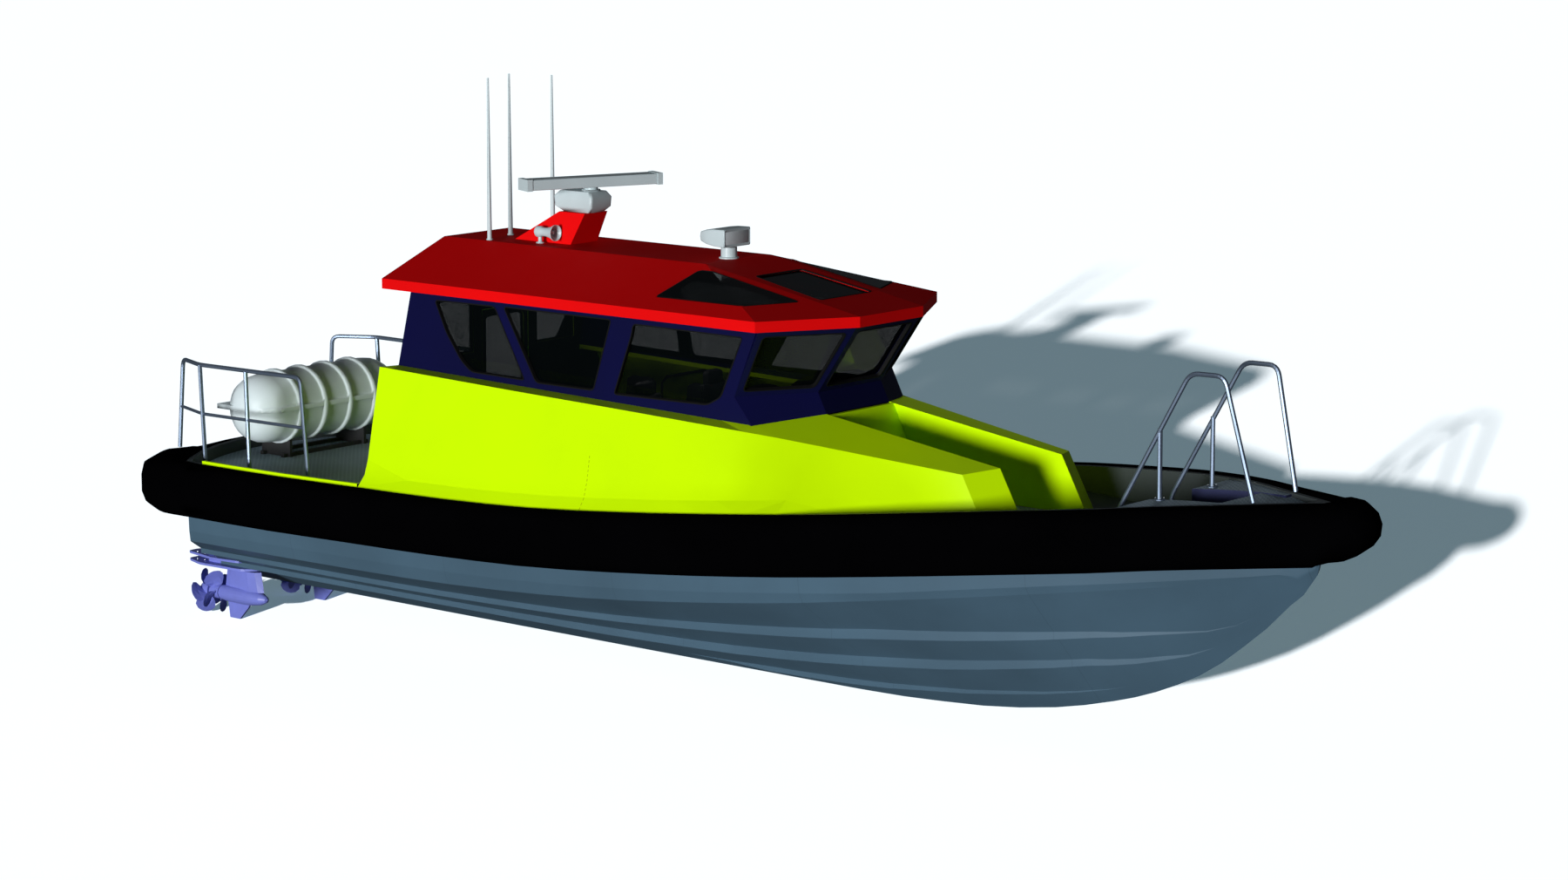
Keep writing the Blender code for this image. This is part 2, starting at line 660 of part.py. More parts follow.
def house_side(name, side):
    """Makes one side moulding of the deckhouse with its forward wing."""
    xs = [-3.957, -3.3, -2.6, -1.9, -1.2, -0.5, 0.1, 0.52, 1.002, 1.383, 1.85, 2.412, 3.0]
    columns = [house_column(x) for x in xs]
    columns.append([(3.690, 0.890, FORE_DECK_Z + 0.0005), (3.624, 0.889, 1.42), (3.536, 0.887, 1.58),
                    (3.387, 0.885, 1.851), (3.567, 0.511, 1.884)])
    verts, faces = [], []
    for column in columns:
        verts += [(x, side * y, z) for x, y, z in column]
    rows = len(columns[0])
    for i in range(len(columns) - 1):
        for k in range(rows - 1):
            a = i * rows + k
            faces.append((a, a + 1, a + rows + 1, a + rows))
    low = FORE_DECK_Z + 0.0005
    wall_x = [(1.383, 9), (1.85, 10), (2.412, 11), (3.0, 12), (3.89, 13)]
    base = len(verts)
    verts += [(x, side * 0.509, low) for x, _ in wall_x]
    for i in range(len(wall_x) - 1):
        faces.append((wall_x[i][1] * rows + 4, base + i, base + i + 1, wall_x[i + 1][1] * rows + 4))
    last = (len(columns) - 1) * rows
    faces.append((last, last + 1, last + 2, last + 3, last + 4, base + len(wall_x) - 1))
    data = bpy.data.meshes.new(name)
    bm = bmesh.new()
    made = [bm.verts.new(v) for v in verts]
    for face in faces:
        bm.faces.new([made[i] for i in face])
    bmesh.ops.recalc_face_normals(bm, faces=bm.faces)
    centre = Vector((0.0, side * 0.9, 1.6))
    probe = min(bm.faces, key=lambda f: (f.calc_center_median() - Vector((-2.2, side * 1.7, 1.5))).length)
    if (probe.calc_center_median() - centre).dot(probe.normal) < 0:
        bmesh.ops.reverse_faces(bm, faces=bm.faces)
    bm.to_mesh(data)
    bm.free()
    obj = link(name, data, "lime")
    mod = obj.modifiers.new("thickness", "SOLIDIFY")
    mod.thickness = WALL
    mod.offset = -1.0
    mod.use_even_offset = True
    mod.use_quality_normals = True
    bake(obj)
    return smooth_by_angle(obj, 20)


def bake(obj):
    """Applies all modifiers of an object."""
    bpy.context.view_layer.update()
    graph = bpy.context.evaluated_depsgraph_get()
    data = bpy.data.meshes.new_from_object(obj.evaluated_get(graph))
    obj.modifiers.clear()
    old = obj.data
    obj.data = data
    bpy.data.meshes.remove(old)
    bm = bmesh.new()
    bm.from_mesh(data)
    finish(bm, data)
    return obj


house = {side: house_side(f"deckhouse_side_{label}", side) for side, label in ((1, "port"), (-1, "starboard"))}
hull_skin = inflated("hull_skin", hull, 0.0005)
for side in (1, -1):
    keep_largest(boolean(house[side], hull_skin))
    bm = bmesh.new()
    bm.from_mesh(house[side].data)
    bmesh.ops.triangulate(bm, faces=bm.faces[:])
    bm.to_mesh(house[side].data)
    bm.free()
    smooth_by_angle(house[side], 20)
bpy.data.objects.remove(hull_skin, do_unlink=True)

# Lower front panel of the deckhouse between the wings
front_outline = [(1.392, 2.182), (1.440, 2.182), (1.882, FORE_DECK_Z + 0.0006), (1.834, FORE_DECK_Z + 0.0006)]
house_front = prism("deckhouse_front", front_outline, "y", -0.508, 0.508, "lime", keep=True)


def wall_y(z):
    """Gives the outer half breadth of the wheelhouse side at height z."""
    return 1.277 + 0.18 * (z - SILL_Z)


def side_slab(name, outline, outer, inner, side, paint, keep=True):
    """Makes a slab on the leaning side plane from an x-z outline and two depths."""
    rings = [[(x, side * (wall_y(z) - depth), z) for x, z in outline] for depth in (outer, inner)]
    return loft(name, rings, paint, keep=keep)


# Wheelhouse front, three raked facets with openings over a sloping apron
def front_points(z, x_side, x_nose, half_nose=0.509):
    """Gives the four corners of the front shell at one height, starboard to port."""
    y = wall_y(z)
    return [(x_side, -y, z), (x_nose, -half_nose, z), (x_nose, half_nose, z), (x_side, y, z)]


base_row = front_points(2.124, 1.002, 1.383)
base_row[1] = (1.383, -0.509, 2.1905)
base_row[2] = (1.383, 0.509, 2.1905)
sill_row = front_points(SILL_Z, 0.816, 1.272)
top_row = front_points(WALL_TOP_Z, 1.236, 1.769)
corner, along, rise = (Vector(p) for p in (sill_row[2], sill_row[3], top_row[2]))
tilt = (along - corner).cross(rise - corner)
level = Vector(top_row[3]) - corner
shift_x = -(tilt.dot(level)) / tilt.x
top_row[3] = (top_row[3][0] + shift_x, top_row[3][1], top_row[3][2])
top_row[0] = (top_row[3][0], -top_row[3][1], top_row[3][2])


def wheelhouse_front():
    """Makes the raked front shell and opens its three windscreens."""
    verts = base_row + sill_row + top_row
    faces = [(k, k + 1, k + 5, k + 4) for k in range(3)] + [(k, k + 1, k + 5, k + 4) for k in range(4, 7)]
    data = bpy.data.meshes.new("wheelhouse_front")
    bm = bmesh.new()
    made = [bm.verts.new(v) for v in verts]
    for face in faces:
        bm.faces.new([made[i] for i in face])
    bmesh.ops.recalc_face_normals(bm, faces=bm.faces)
    bm.faces.ensure_lookup_table()
    if bm.faces[1].normal.x < 0:
        bmesh.ops.reverse_faces(bm, faces=bm.faces)
    bm.to_mesh(data)
    bm.free()
    obj = link("wheelhouse_front", data, "navy")
    mod = obj.modifiers.new("thickness", "SOLIDIFY")
    mod.thickness = WALL
    mod.offset = -1.0
    mod.use_even_offset = True
    bake(obj)
    cut(obj, box("above", (0.5, -2.0, WALL_TOP_Z), (2.5, 2.0, 3.5)))
    for k in range(3):
        cut(obj, facet_slab("opening", k, 0.062, -0.15, 0.15, None, False, 0.06))
    return obj


def facet_slab(name, k, margin, low, high, paint, keep, radius):
    """Makes a slab on windscreen facet k, inset by a margin, between two depths behind the face."""
    a, b = Vector(sill_row[k]), Vector(sill_row[k + 1])
    c, d = Vector(top_row[k + 1]), Vector(top_row[k])
    normal = (b - a).cross(d - a).normalized()
    if normal.x < 0:
        normal = -normal
    across = (b - a).normalized()
    up = normal.cross(across)
    flat = [((p - a).dot(across), (p - a).dot(up)) for p in (a, b, c, d)]
    flat = inset(flat, margin)
    flat = rounded(flat, radius, 3)
    rings = [[tuple(a + across * u + up * v - normal * w) for u, v in flat] for w in (low, high)]
    return loft(name, rings, paint, keep=keep)


def inset(outline, margin):
    """Moves every side of a convex outline inward by a margin."""
    pts = [Vector(p) for p in outline]
    middle = sum(pts, Vector((0, 0))) / len(pts)
    lines = []
    for p, q in zip(pts, pts[1:] + pts[:1]):
        along = (q - p).normalized()
        normal = Vector((-along.y, along.x))
        if (middle - p).dot(normal) < 0:
            normal = -normal
        lines.append((p + normal * margin, along))
    out = []
    for i in range(len(lines)):
        (p, u), (q, v) = lines[i - 1], lines[i]
        t = ((q - p).x * v.y - (q - p).y * v.x) / (u.x * v.y - u.y * v.x)
        out.append(tuple(p + u * t))
    return out


house_skins = {side: inflated("house_skin", house[side], 0.0005) for side in (1, -1)}
front_shell = wheelhouse_front()
for skin in house_skins.values():
    boolean(front_shell, skin)
panes = []
for k, label in enumerate(("starboard", "centre", "port")):
    facet_slab(f"windscreen_{label}", k, 0.052, WALL + 0.001, WALL + 0.009, "glass", True, 0.05)
    panes.append(bpy.data.objects[f"windscreen_{label}"])

WINDOWS = [
    [(-3.255, 3.045), (-2.369, 3.054), (-2.076, 2.272), (-2.86, 2.285), (-2.99, 2.40), (-3.156, 2.70)],
    [(-2.254, 3.062), (-0.724, 3.062), (-1.110, 2.262), (-1.928, 2.262)],
    [(-0.441, 3.045), (1.031, 3.039), (0.640, 2.375), (0.440, 2.272), (-0.840, 2.252), (-0.479, 2.93)],
]
wall_outline = [(-3.950, 2.2545), (1.000, 2.1245), (0.816, SILL_Z), (1.212, WALL_TOP_Z), (-3.591, WALL_TOP_Z)]
glass_outline = [(-3.42, 3.085), (1.06, 3.085), (0.70, 2.45), (0.44, 2.225), (-3.05, 2.248)]
front_skin = inflated("front_skin", front_shell, 0.0008)
for pane in panes:
    keep_largest(boolean(pane, front_skin))
walls = {}
for side, label in ((1, "port"), (-1, "starboard")):
    wall = side_slab(f"wheelhouse_side_{label}", wall_outline, 0.0, WALL, side, "navy")
    openings = [prism("opening", rounded(w, 0.05, 3), "y", min(side * 0.9, side * 1.8),
                      max(side * 0.9, side * 1.8)) for w in WINDOWS]
    cut(wall, *openings)
    boolean(wall, front_skin)
    keep_largest(boolean(wall, house_skins[side]))
    walls[side] = wall
    pane = side_slab(f"side_glass_{label}", glass_outline, WALL + 0.001, WALL + 0.008, side, "glass")
    boolean(pane, front_skin)
bpy.data.objects.remove(front_skin, do_unlink=True)


# Roof, a faceted shell with its low rim on the wheelhouse walls
def roof_body(name, shrink, drop, low, keep=False, paint=None):
    """Makes the solid roof shape, drawn in by an amount for inner skins."""
    nose = ROOF_NOSE_X - shrink
    half = ROOF_HALF - shrink
    nose_half = ROOF_NOSE_HALF - 0.4 * shrink
    aft = ROOF_AFT_X + shrink
    shoulder = ROOF_SIDE_X - 0.6 * shrink
    edge = [(aft, -half), (shoulder, -half), (nose, -nose_half), (nose, nose_half), (shoulder, half), (aft, half)]
    rim = ROOF_EDGE_Z - drop
    verts = [(x, y, low) for x, y in edge] + [(x, y, rim) for x, y in edge]
    top_z = ROOF_TOP_Z - drop
    top_half = ROOF_TOP_HALF - 0.15 * shrink
    top = [(aft, -top_half), (ROOF_TOP_FORE_X, -top_half), (ROOF_TOP_FORE_X, top_half), (aft, top_half)]
    verts += [(x, y, top_z) for x, y in top]
    faces = [(0, 1, 2, 3, 4, 5)] + [(k, k + 1, k + 7, k + 6) for k in range(5)]
    faces += [(6, 7, 13, 12), (7, 8, 13), (8, 9, 14, 13), (9, 10, 14), (10, 11, 15, 14), (12, 13, 14, 15)]
    faces += [(5, 0, 6, 12, 15, 11)]
    return mesh_object(name, verts, faces, paint, keep=keep)


roof = roof_body("roof", 0.0, 0.0, ROOF_LOW_Z, True, "red")
roof_windows = {
    "starboard": [(-0.287, -1.231), (-0.188, -0.643), (1.159, -0.649), (0.874, -1.222)],
    "centre": [(0.320, -0.376), (0.320, 0.376), (1.233, 0.424), (1.233, -0.424)],
    "port": [(-0.287, 1.231), (-0.188, 0.643), (1.159, 0.649), (0.874, 1.222)],
}
room = roof_body("roof_room", 0.12, 0.055, ROOF_LOW_Z - 0.2)
cut(roof, room)
for label, outline in roof_windows.items():
    cut(roof, prism("opening", rounded(outline, 0.05, 3), "z", 3.0, 4.0))
    pane = roof_body(f"roof_glass_{label}", 0.03, 0.012, ROOF_LOW_Z + 0.02, True, "glass")
    cut(pane, roof_body("under", 0.0, 0.019, ROOF_LOW_Z - 0.1))
    boolean(pane, prism("shape", rounded(inset(outline, 0.0004), 0.05, 3), "z", 3.0, 4.0), "INTERSECT")

# Aft bulkhead with its door
bulk_outline = [(1.785, CABIN_SOLE_Z + GAP), (1.80, 1.00), (1.715, 1.13), (1.664, 1.31), (1.474, 2.19),
                (1.185, 2.19), (1.350, WALL_TOP_Z)]
bulk_outline += [(-y, z) for y, z in reversed(bulk_outline)]
bulkhead = prism("aft_bulkhead", bulk_outline, "x", CABIN_AFT_X + 0.002, CABIN_AFT_X + 0.047, "lime", keep=True)
cut(bulkhead, box("doorway", (-4, -0.366, AFT_DECK_Z + 0.06), (-3, 0.366, 2.800)))
for side in (1, -1):
    cut(bulkhead, box("opening", (-4, min(side * 0.50, side * 1.10), 2.35), (-3, max(side * 0.50, side * 1.10), 2.95)))
door = box("aft_door", (CABIN_AFT_X + 0.004, -0.358, AFT_DECK_Z + 0.068), (CABIN_AFT_X + 0.042, 0.358, 2.792),
           "lime", True, 0.006, 1)
cut(door, prism("opening", rounded([(-0.24, 2.1), (0.24, 2.1), (0.24, 2.68), (-0.24, 2.68)], 0.06, 3), "x", -4, -3))
HINGE = (CABIN_AFT_X - 0.010, 0.362)
for z in (1.15, 1.86, 2.57):
    for low, high in ((z - 0.065, z - 0.0202), (z + 0.0202, z + 0.065)):
        union(bulkhead, turned("barrel", [(0, low), (0.009, low), (0.009, high), (0, high)], (*HINGE, 0), "z", None, 12,
                               keep=False))
        union(bulkhead, box("leaf", (HINGE[0] - 0.001, HINGE[1] + 0.003, low), (HINGE[0] + 0.013, HINGE[1] + 0.07, high)))
    union(door, turned("barrel", [(0, z - 0.0198), (0.009, z - 0.0198), (0.009, z + 0.0198), (0, z + 0.0198)],
                       (*HINGE, 0), "z", None, 12, keep=False))
    union(door, box("leaf", (HINGE[0] - 0.001, HINGE[1] - 0.07, z - 0.0198), (HINGE[0] + 0.015, HINGE[1] - 0.003, z + 0.0198)))
set_origin(door, (*HINGE, 1.9))

# Cabin interior
console_outline = [(0.10, CABIN_SOLE_Z + GAP), (0.78, CABIN_SOLE_Z + GAP), (0.78, 2.18), (0.52, 2.24),
                   (0.34, 1.92), (0.12, 1.80)]
console = prism("helm_console", console_outline, "y", -1.05, 1.05, "black", keep=True)


def seat(name, x, y):
    """Makes a helm seat on a pedestal."""
    body = box(name, (x - 0.24, y - 0.24, 1.36), (x + 0.24, y + 0.24, 1.50), "seat", True, 0.03)
    back = prism("back", rounded([(x - 0.30, 1.45), (x - 0.16, 1.45), (x - 0.26, 2.42), (x - 0.38, 2.42)], 0.04, 2),
                 "y", y - 0.23, y + 0.23)
    foot = turned("foot", [(0, 0), (0.17, 0), (0.17, 0.03), (0.06, 0.05), (0.06, 0.65), (0, 0.65)],
                  (x, y, CABIN_SOLE_Z + GAP), "z", None, 16, keep=False)
    return union(body, back, foot)


seat("helm_seat_starboard", -0.75, -0.55)
seat("helm_seat_port", -0.75, 0.55)
for side, label in ((1, "port"), (-1, "starboard")):
    bench_outline = rounded([(side * 0.75, CABIN_SOLE_Z + GAP), (side * 1.30, CABIN_SOLE_Z + GAP), (side * 1.40, 2.10),
                             (side * 1.28, 2.10), (side * 1.20, 1.25), (side * 0.75, 1.25)], 0.03, 2)
    prism(f"bench_{label}", bench_outline, "x", -3.35, -1.55, "seat", keep=True)

# Rails
TUBE = 0.024


def foot_plate(x, y, z):
    """Makes a small round rail foot."""
    return turned("foot", [(0, 0), (0.055, 0), (0.055, 0.012), (0, 0.012)], (x, y, z), "z", None, 16, keep=False)


for side, label in ((1, "port"), (-1, "starboard")):
    def s(points):
        return [(x, side * y, z) for x, y, z in points]

    deck_z = FORE_DECK_Z + 0.0146
    main = tube(f"bow_rail_{label}", s([(4.915, 0.444, deck_z + 0.006), (4.925, 0.444, 1.62), (5.735, 0.455, 3.030),
                                        (6.120, 0.452, 3.036), (6.408, 0.366, 1.862)]), TUBE, "steel", 0.10, True)
    ledge_z = at(SHEER, 5.46)[1] - 0.011
    brace = tube("brace", s([(5.400, 0.447, 2.468), (5.404, 0.444, ledge_z + 0.006)]), TUBE, None)
    union(main, brace, foot_plate(4.915, side * 0.444, deck_z), foot_plate(5.404, side * 0.444, ledge_z))
    deck_z = AFT_DECK_Z + 0.0146
    main = tube(f"stern_rail_{label}", s([(-7.555, 1.175, 0.958), (-7.475, 1.168, 1.975), (-6.968, 1.391, 1.985),
                                          (-5.380, 1.351, 1.989), (-5.290, 1.340, deck_z + 0.006)]), TUBE, "steel", 0.09, True)
    mid = tube("mid", s([(-7.52, 1.171, 1.431), (-6.93, 1.392, 1.431), (-5.335, 1.345, 1.431)]), 0.019, None, 0.09)
    post_a = tube("post", s([(-6.955, 1.389, 1.98), (-6.890, 1.394, deck_z + 0.006)]), TUBE, None)
    post_b = tube("post", s([(-6.230, 1.371, 1.98), (-6.200, 1.367, deck_z + 0.006)]), TUBE, None)
    union(main, mid, post_a, post_b)
    for x, y in ((-6.89, 1.394), (-6.2, 1.367), (-5.29, 1.34)):
        union(main, foot_plate(x, side * y, deck_z))

# Liferaft on its cradle
RAFT = (-6.79, 0.205, 1.410)
raft_profile = [(0, -1.135), (0.13, -1.125), (0.25, -1.08), (0.335, -1.00), (0.38, -0.90), (0.395, -0.79)]
for y in (-0.595, -0.205, 0.185, 0.575):
    raft_profile += [(0.395, y - 0.045), (0.418, y - 0.036), (0.430, y - 0.016), (0.430, y + 0.016),
                     (0.418, y + 0.036), (0.395, y + 0.045)]
raft_profile += [(0.395, 0.79), (0.38, 0.90), (0.335, 1.00), (0.25, 1.08), (0.13, 1.125), (0, 1.135)]
raft = turned("liferaft", raft_profile, RAFT, "y", "pale", 28)
band = [(-7.205, RAFT[1] + 1.02), (-7.205, RAFT[1] - 1.12)]
band += [(-6.67 + 0.295 * math.sin(math.radians(a)), RAFT[1] - 0.82 - 0.30 * math.cos(math.radians(a)))
         for a in range(0, 91, 15)]
band += [(x, 2 * RAFT[1] - y - 0.10) for x, y in reversed(band[2:])]
union(raft, prism("band", band, "z", RAFT[2] - 0.003, RAFT[2] + 0.051))
cradle_z = AFT_DECK_Z + 0.0146
cradle = box("raft_cradle", (-6.985, -0.47, cradle_z), (-6.935, 0.86, cradle_z + 0.04), "black", True)
union(cradle, box("bar", (-6.645, -0.47, cradle_z), (-6.595, 0.86, cradle_z + 0.04)))
for y in (-0.39, 0.78):
    union(cradle, box("saddle", (-7.02, y - 0.02, cradle_z + 0.001), (-6.56, y + 0.02, 1.16)))
groove = turned("groove", [(0, -1), (0.4304, -1), (0.4304, 1), (0, 1)], RAFT, "y", None, 28, keep=False)
cut(cradle, groove)

# Radar, horn, aerials and searchlight on the roof
roof_z = ROOF_TOP_Z + GAP
pylon_low = [(-3.19, -0.21), (-2.38, -0.21), (-2.38, 0.21), (-3.19, 0.21)]
pylon_high = [(-2.57, -0.18), (-2.20, -0.18), (-2.20, 0.18), (-2.57, 0.18)]
pylon = loft("radar_pylon", [[(x, y, roof_z) for x, y in pylon_low], [(x, y, 3.925) for x, y in pylon_high]], "red")
RADAR = (-2.27, 0.0)
gear_rings = []
for z, aft, fore, half in ((3.9255, -2.575, -2.185, 0.120), (3.985, -2.655, -2.125, 0.165), (4.090, -2.665, -2.115, 0.168),
                           (4.150, -2.600, -2.165, 0.140)):
    gear_rings.append([(x, y, z) for x, y in rounded([(aft, -half), (fore, -half), (fore, half), (aft, half)], 0.03, 2)])
gearbox = loft("radar_gearbox", gear_rings, "pale")
union(gearbox, turned("ring", [(0, 0), (0.10, 0), (0.10, 0.02), (0, 0.02)], (*RADAR, 4.149), "z", None, 24, keep=False))
scanner = box("radar_scanner", (-0.78, -0.115, 4.197), (0.78, 0.115, 4.310), "pale", True, 0.010)
cap_size = (0.03, 0.122)
for end in (-0.765, 0.765):
    union(scanner, box("cap", (end - cap_size[0], -cap_size[1], 4.191), (end + cap_size[0], cap_size[1], 4.316)))
union(scanner, turned("neck", [(0, 0), (0.075, 0), (0.075, 0.036), (0, 0.036)], (0, 0, 4.1694), "z", None, 24, keep=False))
scanner.data.transform(Matrix.Rotation(math.radians(67.7), 4, "Z"))
scanner.data.transform(Matrix.Translation((*RADAR, 0)))
set_origin(scanner, (*RADAR, 4.18))

horn = turned("horn", [(0, -0.275), (0.050, -0.275), (0.060, -0.262), (0.060, -0.205), (0.046, -0.190), (0.048, -0.130),
                       (0.066, -0.055), (0.088, -0.012), (0.088, 0.0), (0.078, 0.0), (0.040, -0.10), (0.022, -0.10),
                       (0.022, -0.045), (0, -0.045)], (-2.505, -0.302, 3.708), "x", "pale", 20)
union(horn, turned("post", [(0, 0), (0.045, 0), (0.045, 0.01), (0.022, 0.015), (0.022, 0.12), (0, 0.12)],
                   (-2.735, -0.302, roof_z), "z", None, 14, keep=False))

AERIALS = [("aerial_starboard", -3.338, -0.452, 1.74), ("aerial_centre", -3.476, 0.02, 1.75),
           ("aerial_port", -3.25, 0.452, 1.72)]
for name, x, y, height in AERIALS:
    turned(name, [(0, 0), (0.036, 0), (0.036, 0.012), (0.0265, 0.016), (0.011, height), (0, height)],
           (x, y, roof_z), "z", "pale", 12)

LIGHT = (-0.340, 0.0)
base = turned("searchlight_base", [(0, 0), (0.105, 0), (0.105, 0.012), (0.085, 0.02), (0.085, 0.118), (0, 0.118)],
              (*LIGHT, roof_z), "z", "pale", 24)
head_rings = []
for x, half, low, high in ((-0.605, 0.150, 3.785, 3.832), (-0.570, 0.185, 3.763, 3.864), (-0.480, 0.208, 3.738, 3.890),
                           (-0.380, 0.213, 3.724, 3.902), (-0.233, 0.215, 3.715, 3.905)):
    outline = rounded([(-half, low), (half, low), (half, high), (-half, high)], 0.018, 2)
    head_rings.append([(x, y, z) for y, z in outline])
head = loft("searchlight_head", head_rings, "pale")
union(head, turned("stem", [(0, 0), (0.06, 0), (0.06, 0.05), (0, 0.05)], (*LIGHT, roof_z + 0.1184), "z", None, 20,
                   keep=False))
set_origin(head, (*LIGHT, roof_z + 0.12))

# Drives, a fixed mounting each side with a turning leg and two propellers
LEG_X = -7.050
FRONT_PROP_X = -7.515
REAR_PROP_X = -7.690


def propeller(name, x, y, blades, hand, parent, tail):
    """Makes a propeller with broad blades on a round hub, turning about x."""
    hub_profile = [(0, -0.075), (0.05, -0.075), (0.082, -0.06), (0.082, 0.06), (0, 0.06)]
    if not tail:
        hub_profile = [(0, -0.1016), (0.04, -0.1016), (0.04, -0.07), (0.082, -0.07), (0.082, 0.07), (0, 0.07)]
    hub = turned(name, hub_profile, (0, 0, 0), "x", "drive", 24)
    for k in range(blades):
        rings = []
        for r, chord, pitch, thick in ((0.06, 0.095, 60, 0.016), (0.11, 0.165, 44, 0.013), (0.17, 0.240, 31, 0.010),
                                       (0.22, 0.245, 25, 0.008), (0.248, 0.165, 23, 0.006), (0.257, 0.06, 22, 0.004)):
            t = -math.radians(pitch)
            ring = []
            for u, v in ((-0.5, 0), (-0.25, 0.42), (0.1, 0.5), (0.5, 0), (0.1, -0.5), (-0.25, -0.42)):
                across = u * chord
                lift = v * thick
                around = (across * math.cos(t) - lift * math.sin(t)) / r
                ahead = across * math.sin(t) + lift * math.cos(t)
                limit = 0.056
                ring.append((max(-limit, min(limit, ahead)), -hand * r * math.sin(around), r * math.cos(around)))
            rings.append(ring)
        blade = loft("blade", rings, None, keep=False)
        blade.data.transform(Matrix.Rotation(math.tau * (k + 0.25) / blades, 4, "X"))
        union(hub, blade)
    smooth_by_angle(hub, 40)
    hub.data.transform(Matrix.Translation((x, y, SHAFT_Z)))
    set_origin(hub, (x, y, SHAFT_Z), parent)
    return hub


hull_skin = inflated("hull_skin", hull, 0.0008)
for side, label in ((1, "port"), (-1, "starboard")):
    y0 = side * POD_Y
    lower = rounded([(-7.905, y0 - 0.10), (-7.905, y0 + 0.10), (-7.60, y0 + 0.21), (-6.95, y0 + 0.19),
                     (-6.80, y0 + 0.06), (-6.80, y0 - 0.06), (-6.95, y0 - 0.19), (-7.60, y0 - 0.21)], 0.05, 2)
    mount = prism(f"drive_mount_{label}", lower, "z", -0.462, -0.436, "drive", keep=True)
    upper = rounded([(-7.925, y0 - 0.09), (-7.925, y0 + 0.09), (-7.40, y0 + 0.20), (-7.0, y0 + 0.16),
                     (-7.0, y0 - 0.16), (-7.40, y0 - 0.20)], 0.05, 2)
    core = rounded([(-7.62, y0 - 0.09), (-6.85, y0 - 0.09), (-6.85, y0 + 0.09), (-7.62, y0 + 0.09)], 0.08, 3)
    union(mount, prism("upper", upper, "z", -0.380, -0.354), prism("core", core, "z", -0.450, -0.300))
    boolean(mount, hull_skin)
    keep_largest(mount)
    leg_rings = []
    for z, nose_x, tail_x, half in ((-0.487, -6.80, -7.36, 0.075), (-0.60, -6.78, -7.38, 0.07), (-0.72, -6.76, -7.40, 0.06)):
        mid_x = nose_x - 0.3 * (nose_x - tail_x)
        leg_rings.append([(nose_x, y0, z), (nose_x - 0.06, y0 + half * 0.7, z), (mid_x, y0 + half, z),
                          (tail_x + 0.1, y0 + half * 0.5, z), (tail_x, y0, z), (tail_x + 0.1, y0 - half * 0.5, z),
                          (mid_x, y0 - half, z), (nose_x - 0.06, y0 - half * 0.7, z)])
    leg = loft(f"drive_leg_{label}", leg_rings, "drive")
    pod = turned("pod", [(0, -0.395), (0.082, -0.395), (0.095, -0.30), (0.10, -0.10), (0.095, 0.10), (0.07, 0.25),
                         (0.035, 0.33), (0, 0.35)], (LEG_X, y0, SHAFT_Z), "x", None, 20, keep=False)
    skeg_outline = [(-7.36, SHAFT_Z), (-6.93, SHAFT_Z), (-7.02, -0.93), (-7.16, -1.072), (-7.32, -1.072)]
    boss = turned("boss", [(0, -0.50), (0.06, -0.50), (0.06, -0.4624), (0, -0.4624)], (LEG_X, y0, 0), "z", None, 20,
                  keep=False)
    shaft = turned("shaft", [(0, -0.4076), (0.04, -0.4076), (0.04, -0.39), (0, -0.39)], (LEG_X, y0, SHAFT_Z), "x", None,
                   16, keep=False)
    union(leg, pod, prism("skeg", skeg_outline, "y", y0 - 0.014, y0 + 0.014), boss, shaft)
    smooth_by_angle(leg, 35)
    set_origin(leg, (LEG_X, y0, -0.5))
    propeller(f"propeller_front_{label}", FRONT_PROP_X - 0.013, y0, 4, 1, leg, False)
    propeller(f"propeller_rear_{label}", REAR_PROP_X, y0, 5, -1, leg, True)
for skin in (hull_skin, *house_skins.values()):
    bpy.data.objects.remove(skin, do_unlink=True)
bpy.data.collections.remove(cutters)
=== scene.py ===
import math
import bmesh
import bpy
from mathutils import Matrix, Vector


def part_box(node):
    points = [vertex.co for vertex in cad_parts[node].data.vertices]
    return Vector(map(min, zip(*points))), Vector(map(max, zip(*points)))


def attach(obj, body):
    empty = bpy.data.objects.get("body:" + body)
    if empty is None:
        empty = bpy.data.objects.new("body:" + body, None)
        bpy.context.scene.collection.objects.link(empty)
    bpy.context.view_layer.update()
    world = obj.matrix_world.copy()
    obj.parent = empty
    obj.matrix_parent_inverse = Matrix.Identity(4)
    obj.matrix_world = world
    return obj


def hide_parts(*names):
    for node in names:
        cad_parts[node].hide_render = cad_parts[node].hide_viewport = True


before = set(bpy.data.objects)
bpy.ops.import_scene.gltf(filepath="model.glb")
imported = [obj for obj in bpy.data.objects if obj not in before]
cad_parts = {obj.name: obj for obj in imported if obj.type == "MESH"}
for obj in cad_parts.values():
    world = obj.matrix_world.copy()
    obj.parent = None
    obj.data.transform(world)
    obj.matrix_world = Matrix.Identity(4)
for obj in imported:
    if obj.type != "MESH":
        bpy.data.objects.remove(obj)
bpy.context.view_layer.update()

# The studio is a wide pale floor that the drive skegs just touch, as the shadow in the photograph shows.
# A low soft lamp stands off the starboard side, and a weaker one off the port quarter. The floor has a harder lamp
# of its own, so that it stays pale and takes one long shadow. A dim lamp hangs in the cabin.
SKEG_FLOOR_Z = -1.078
FLOOR_HALF = 350.0
CAMERA_DROP, CAMERA_HEADING = 9.716, 39.729
camera_data = bpy.data.cameras.new("camera")
camera_data.lens = 94.1
camera_data.sensor_width = 36.0
camera_data.clip_end = 900.0
camera = bpy.data.objects.new("camera", camera_data)
camera.location = (27.10, -32.125, 8.903)
camera.rotation_euler = (math.radians(90 - CAMERA_DROP), 0, math.radians(CAMERA_HEADING))
bpy.context.scene.collection.objects.link(camera)
bpy.context.scene.camera = camera
bpy.context.scene.view_settings.view_transform = "Standard"

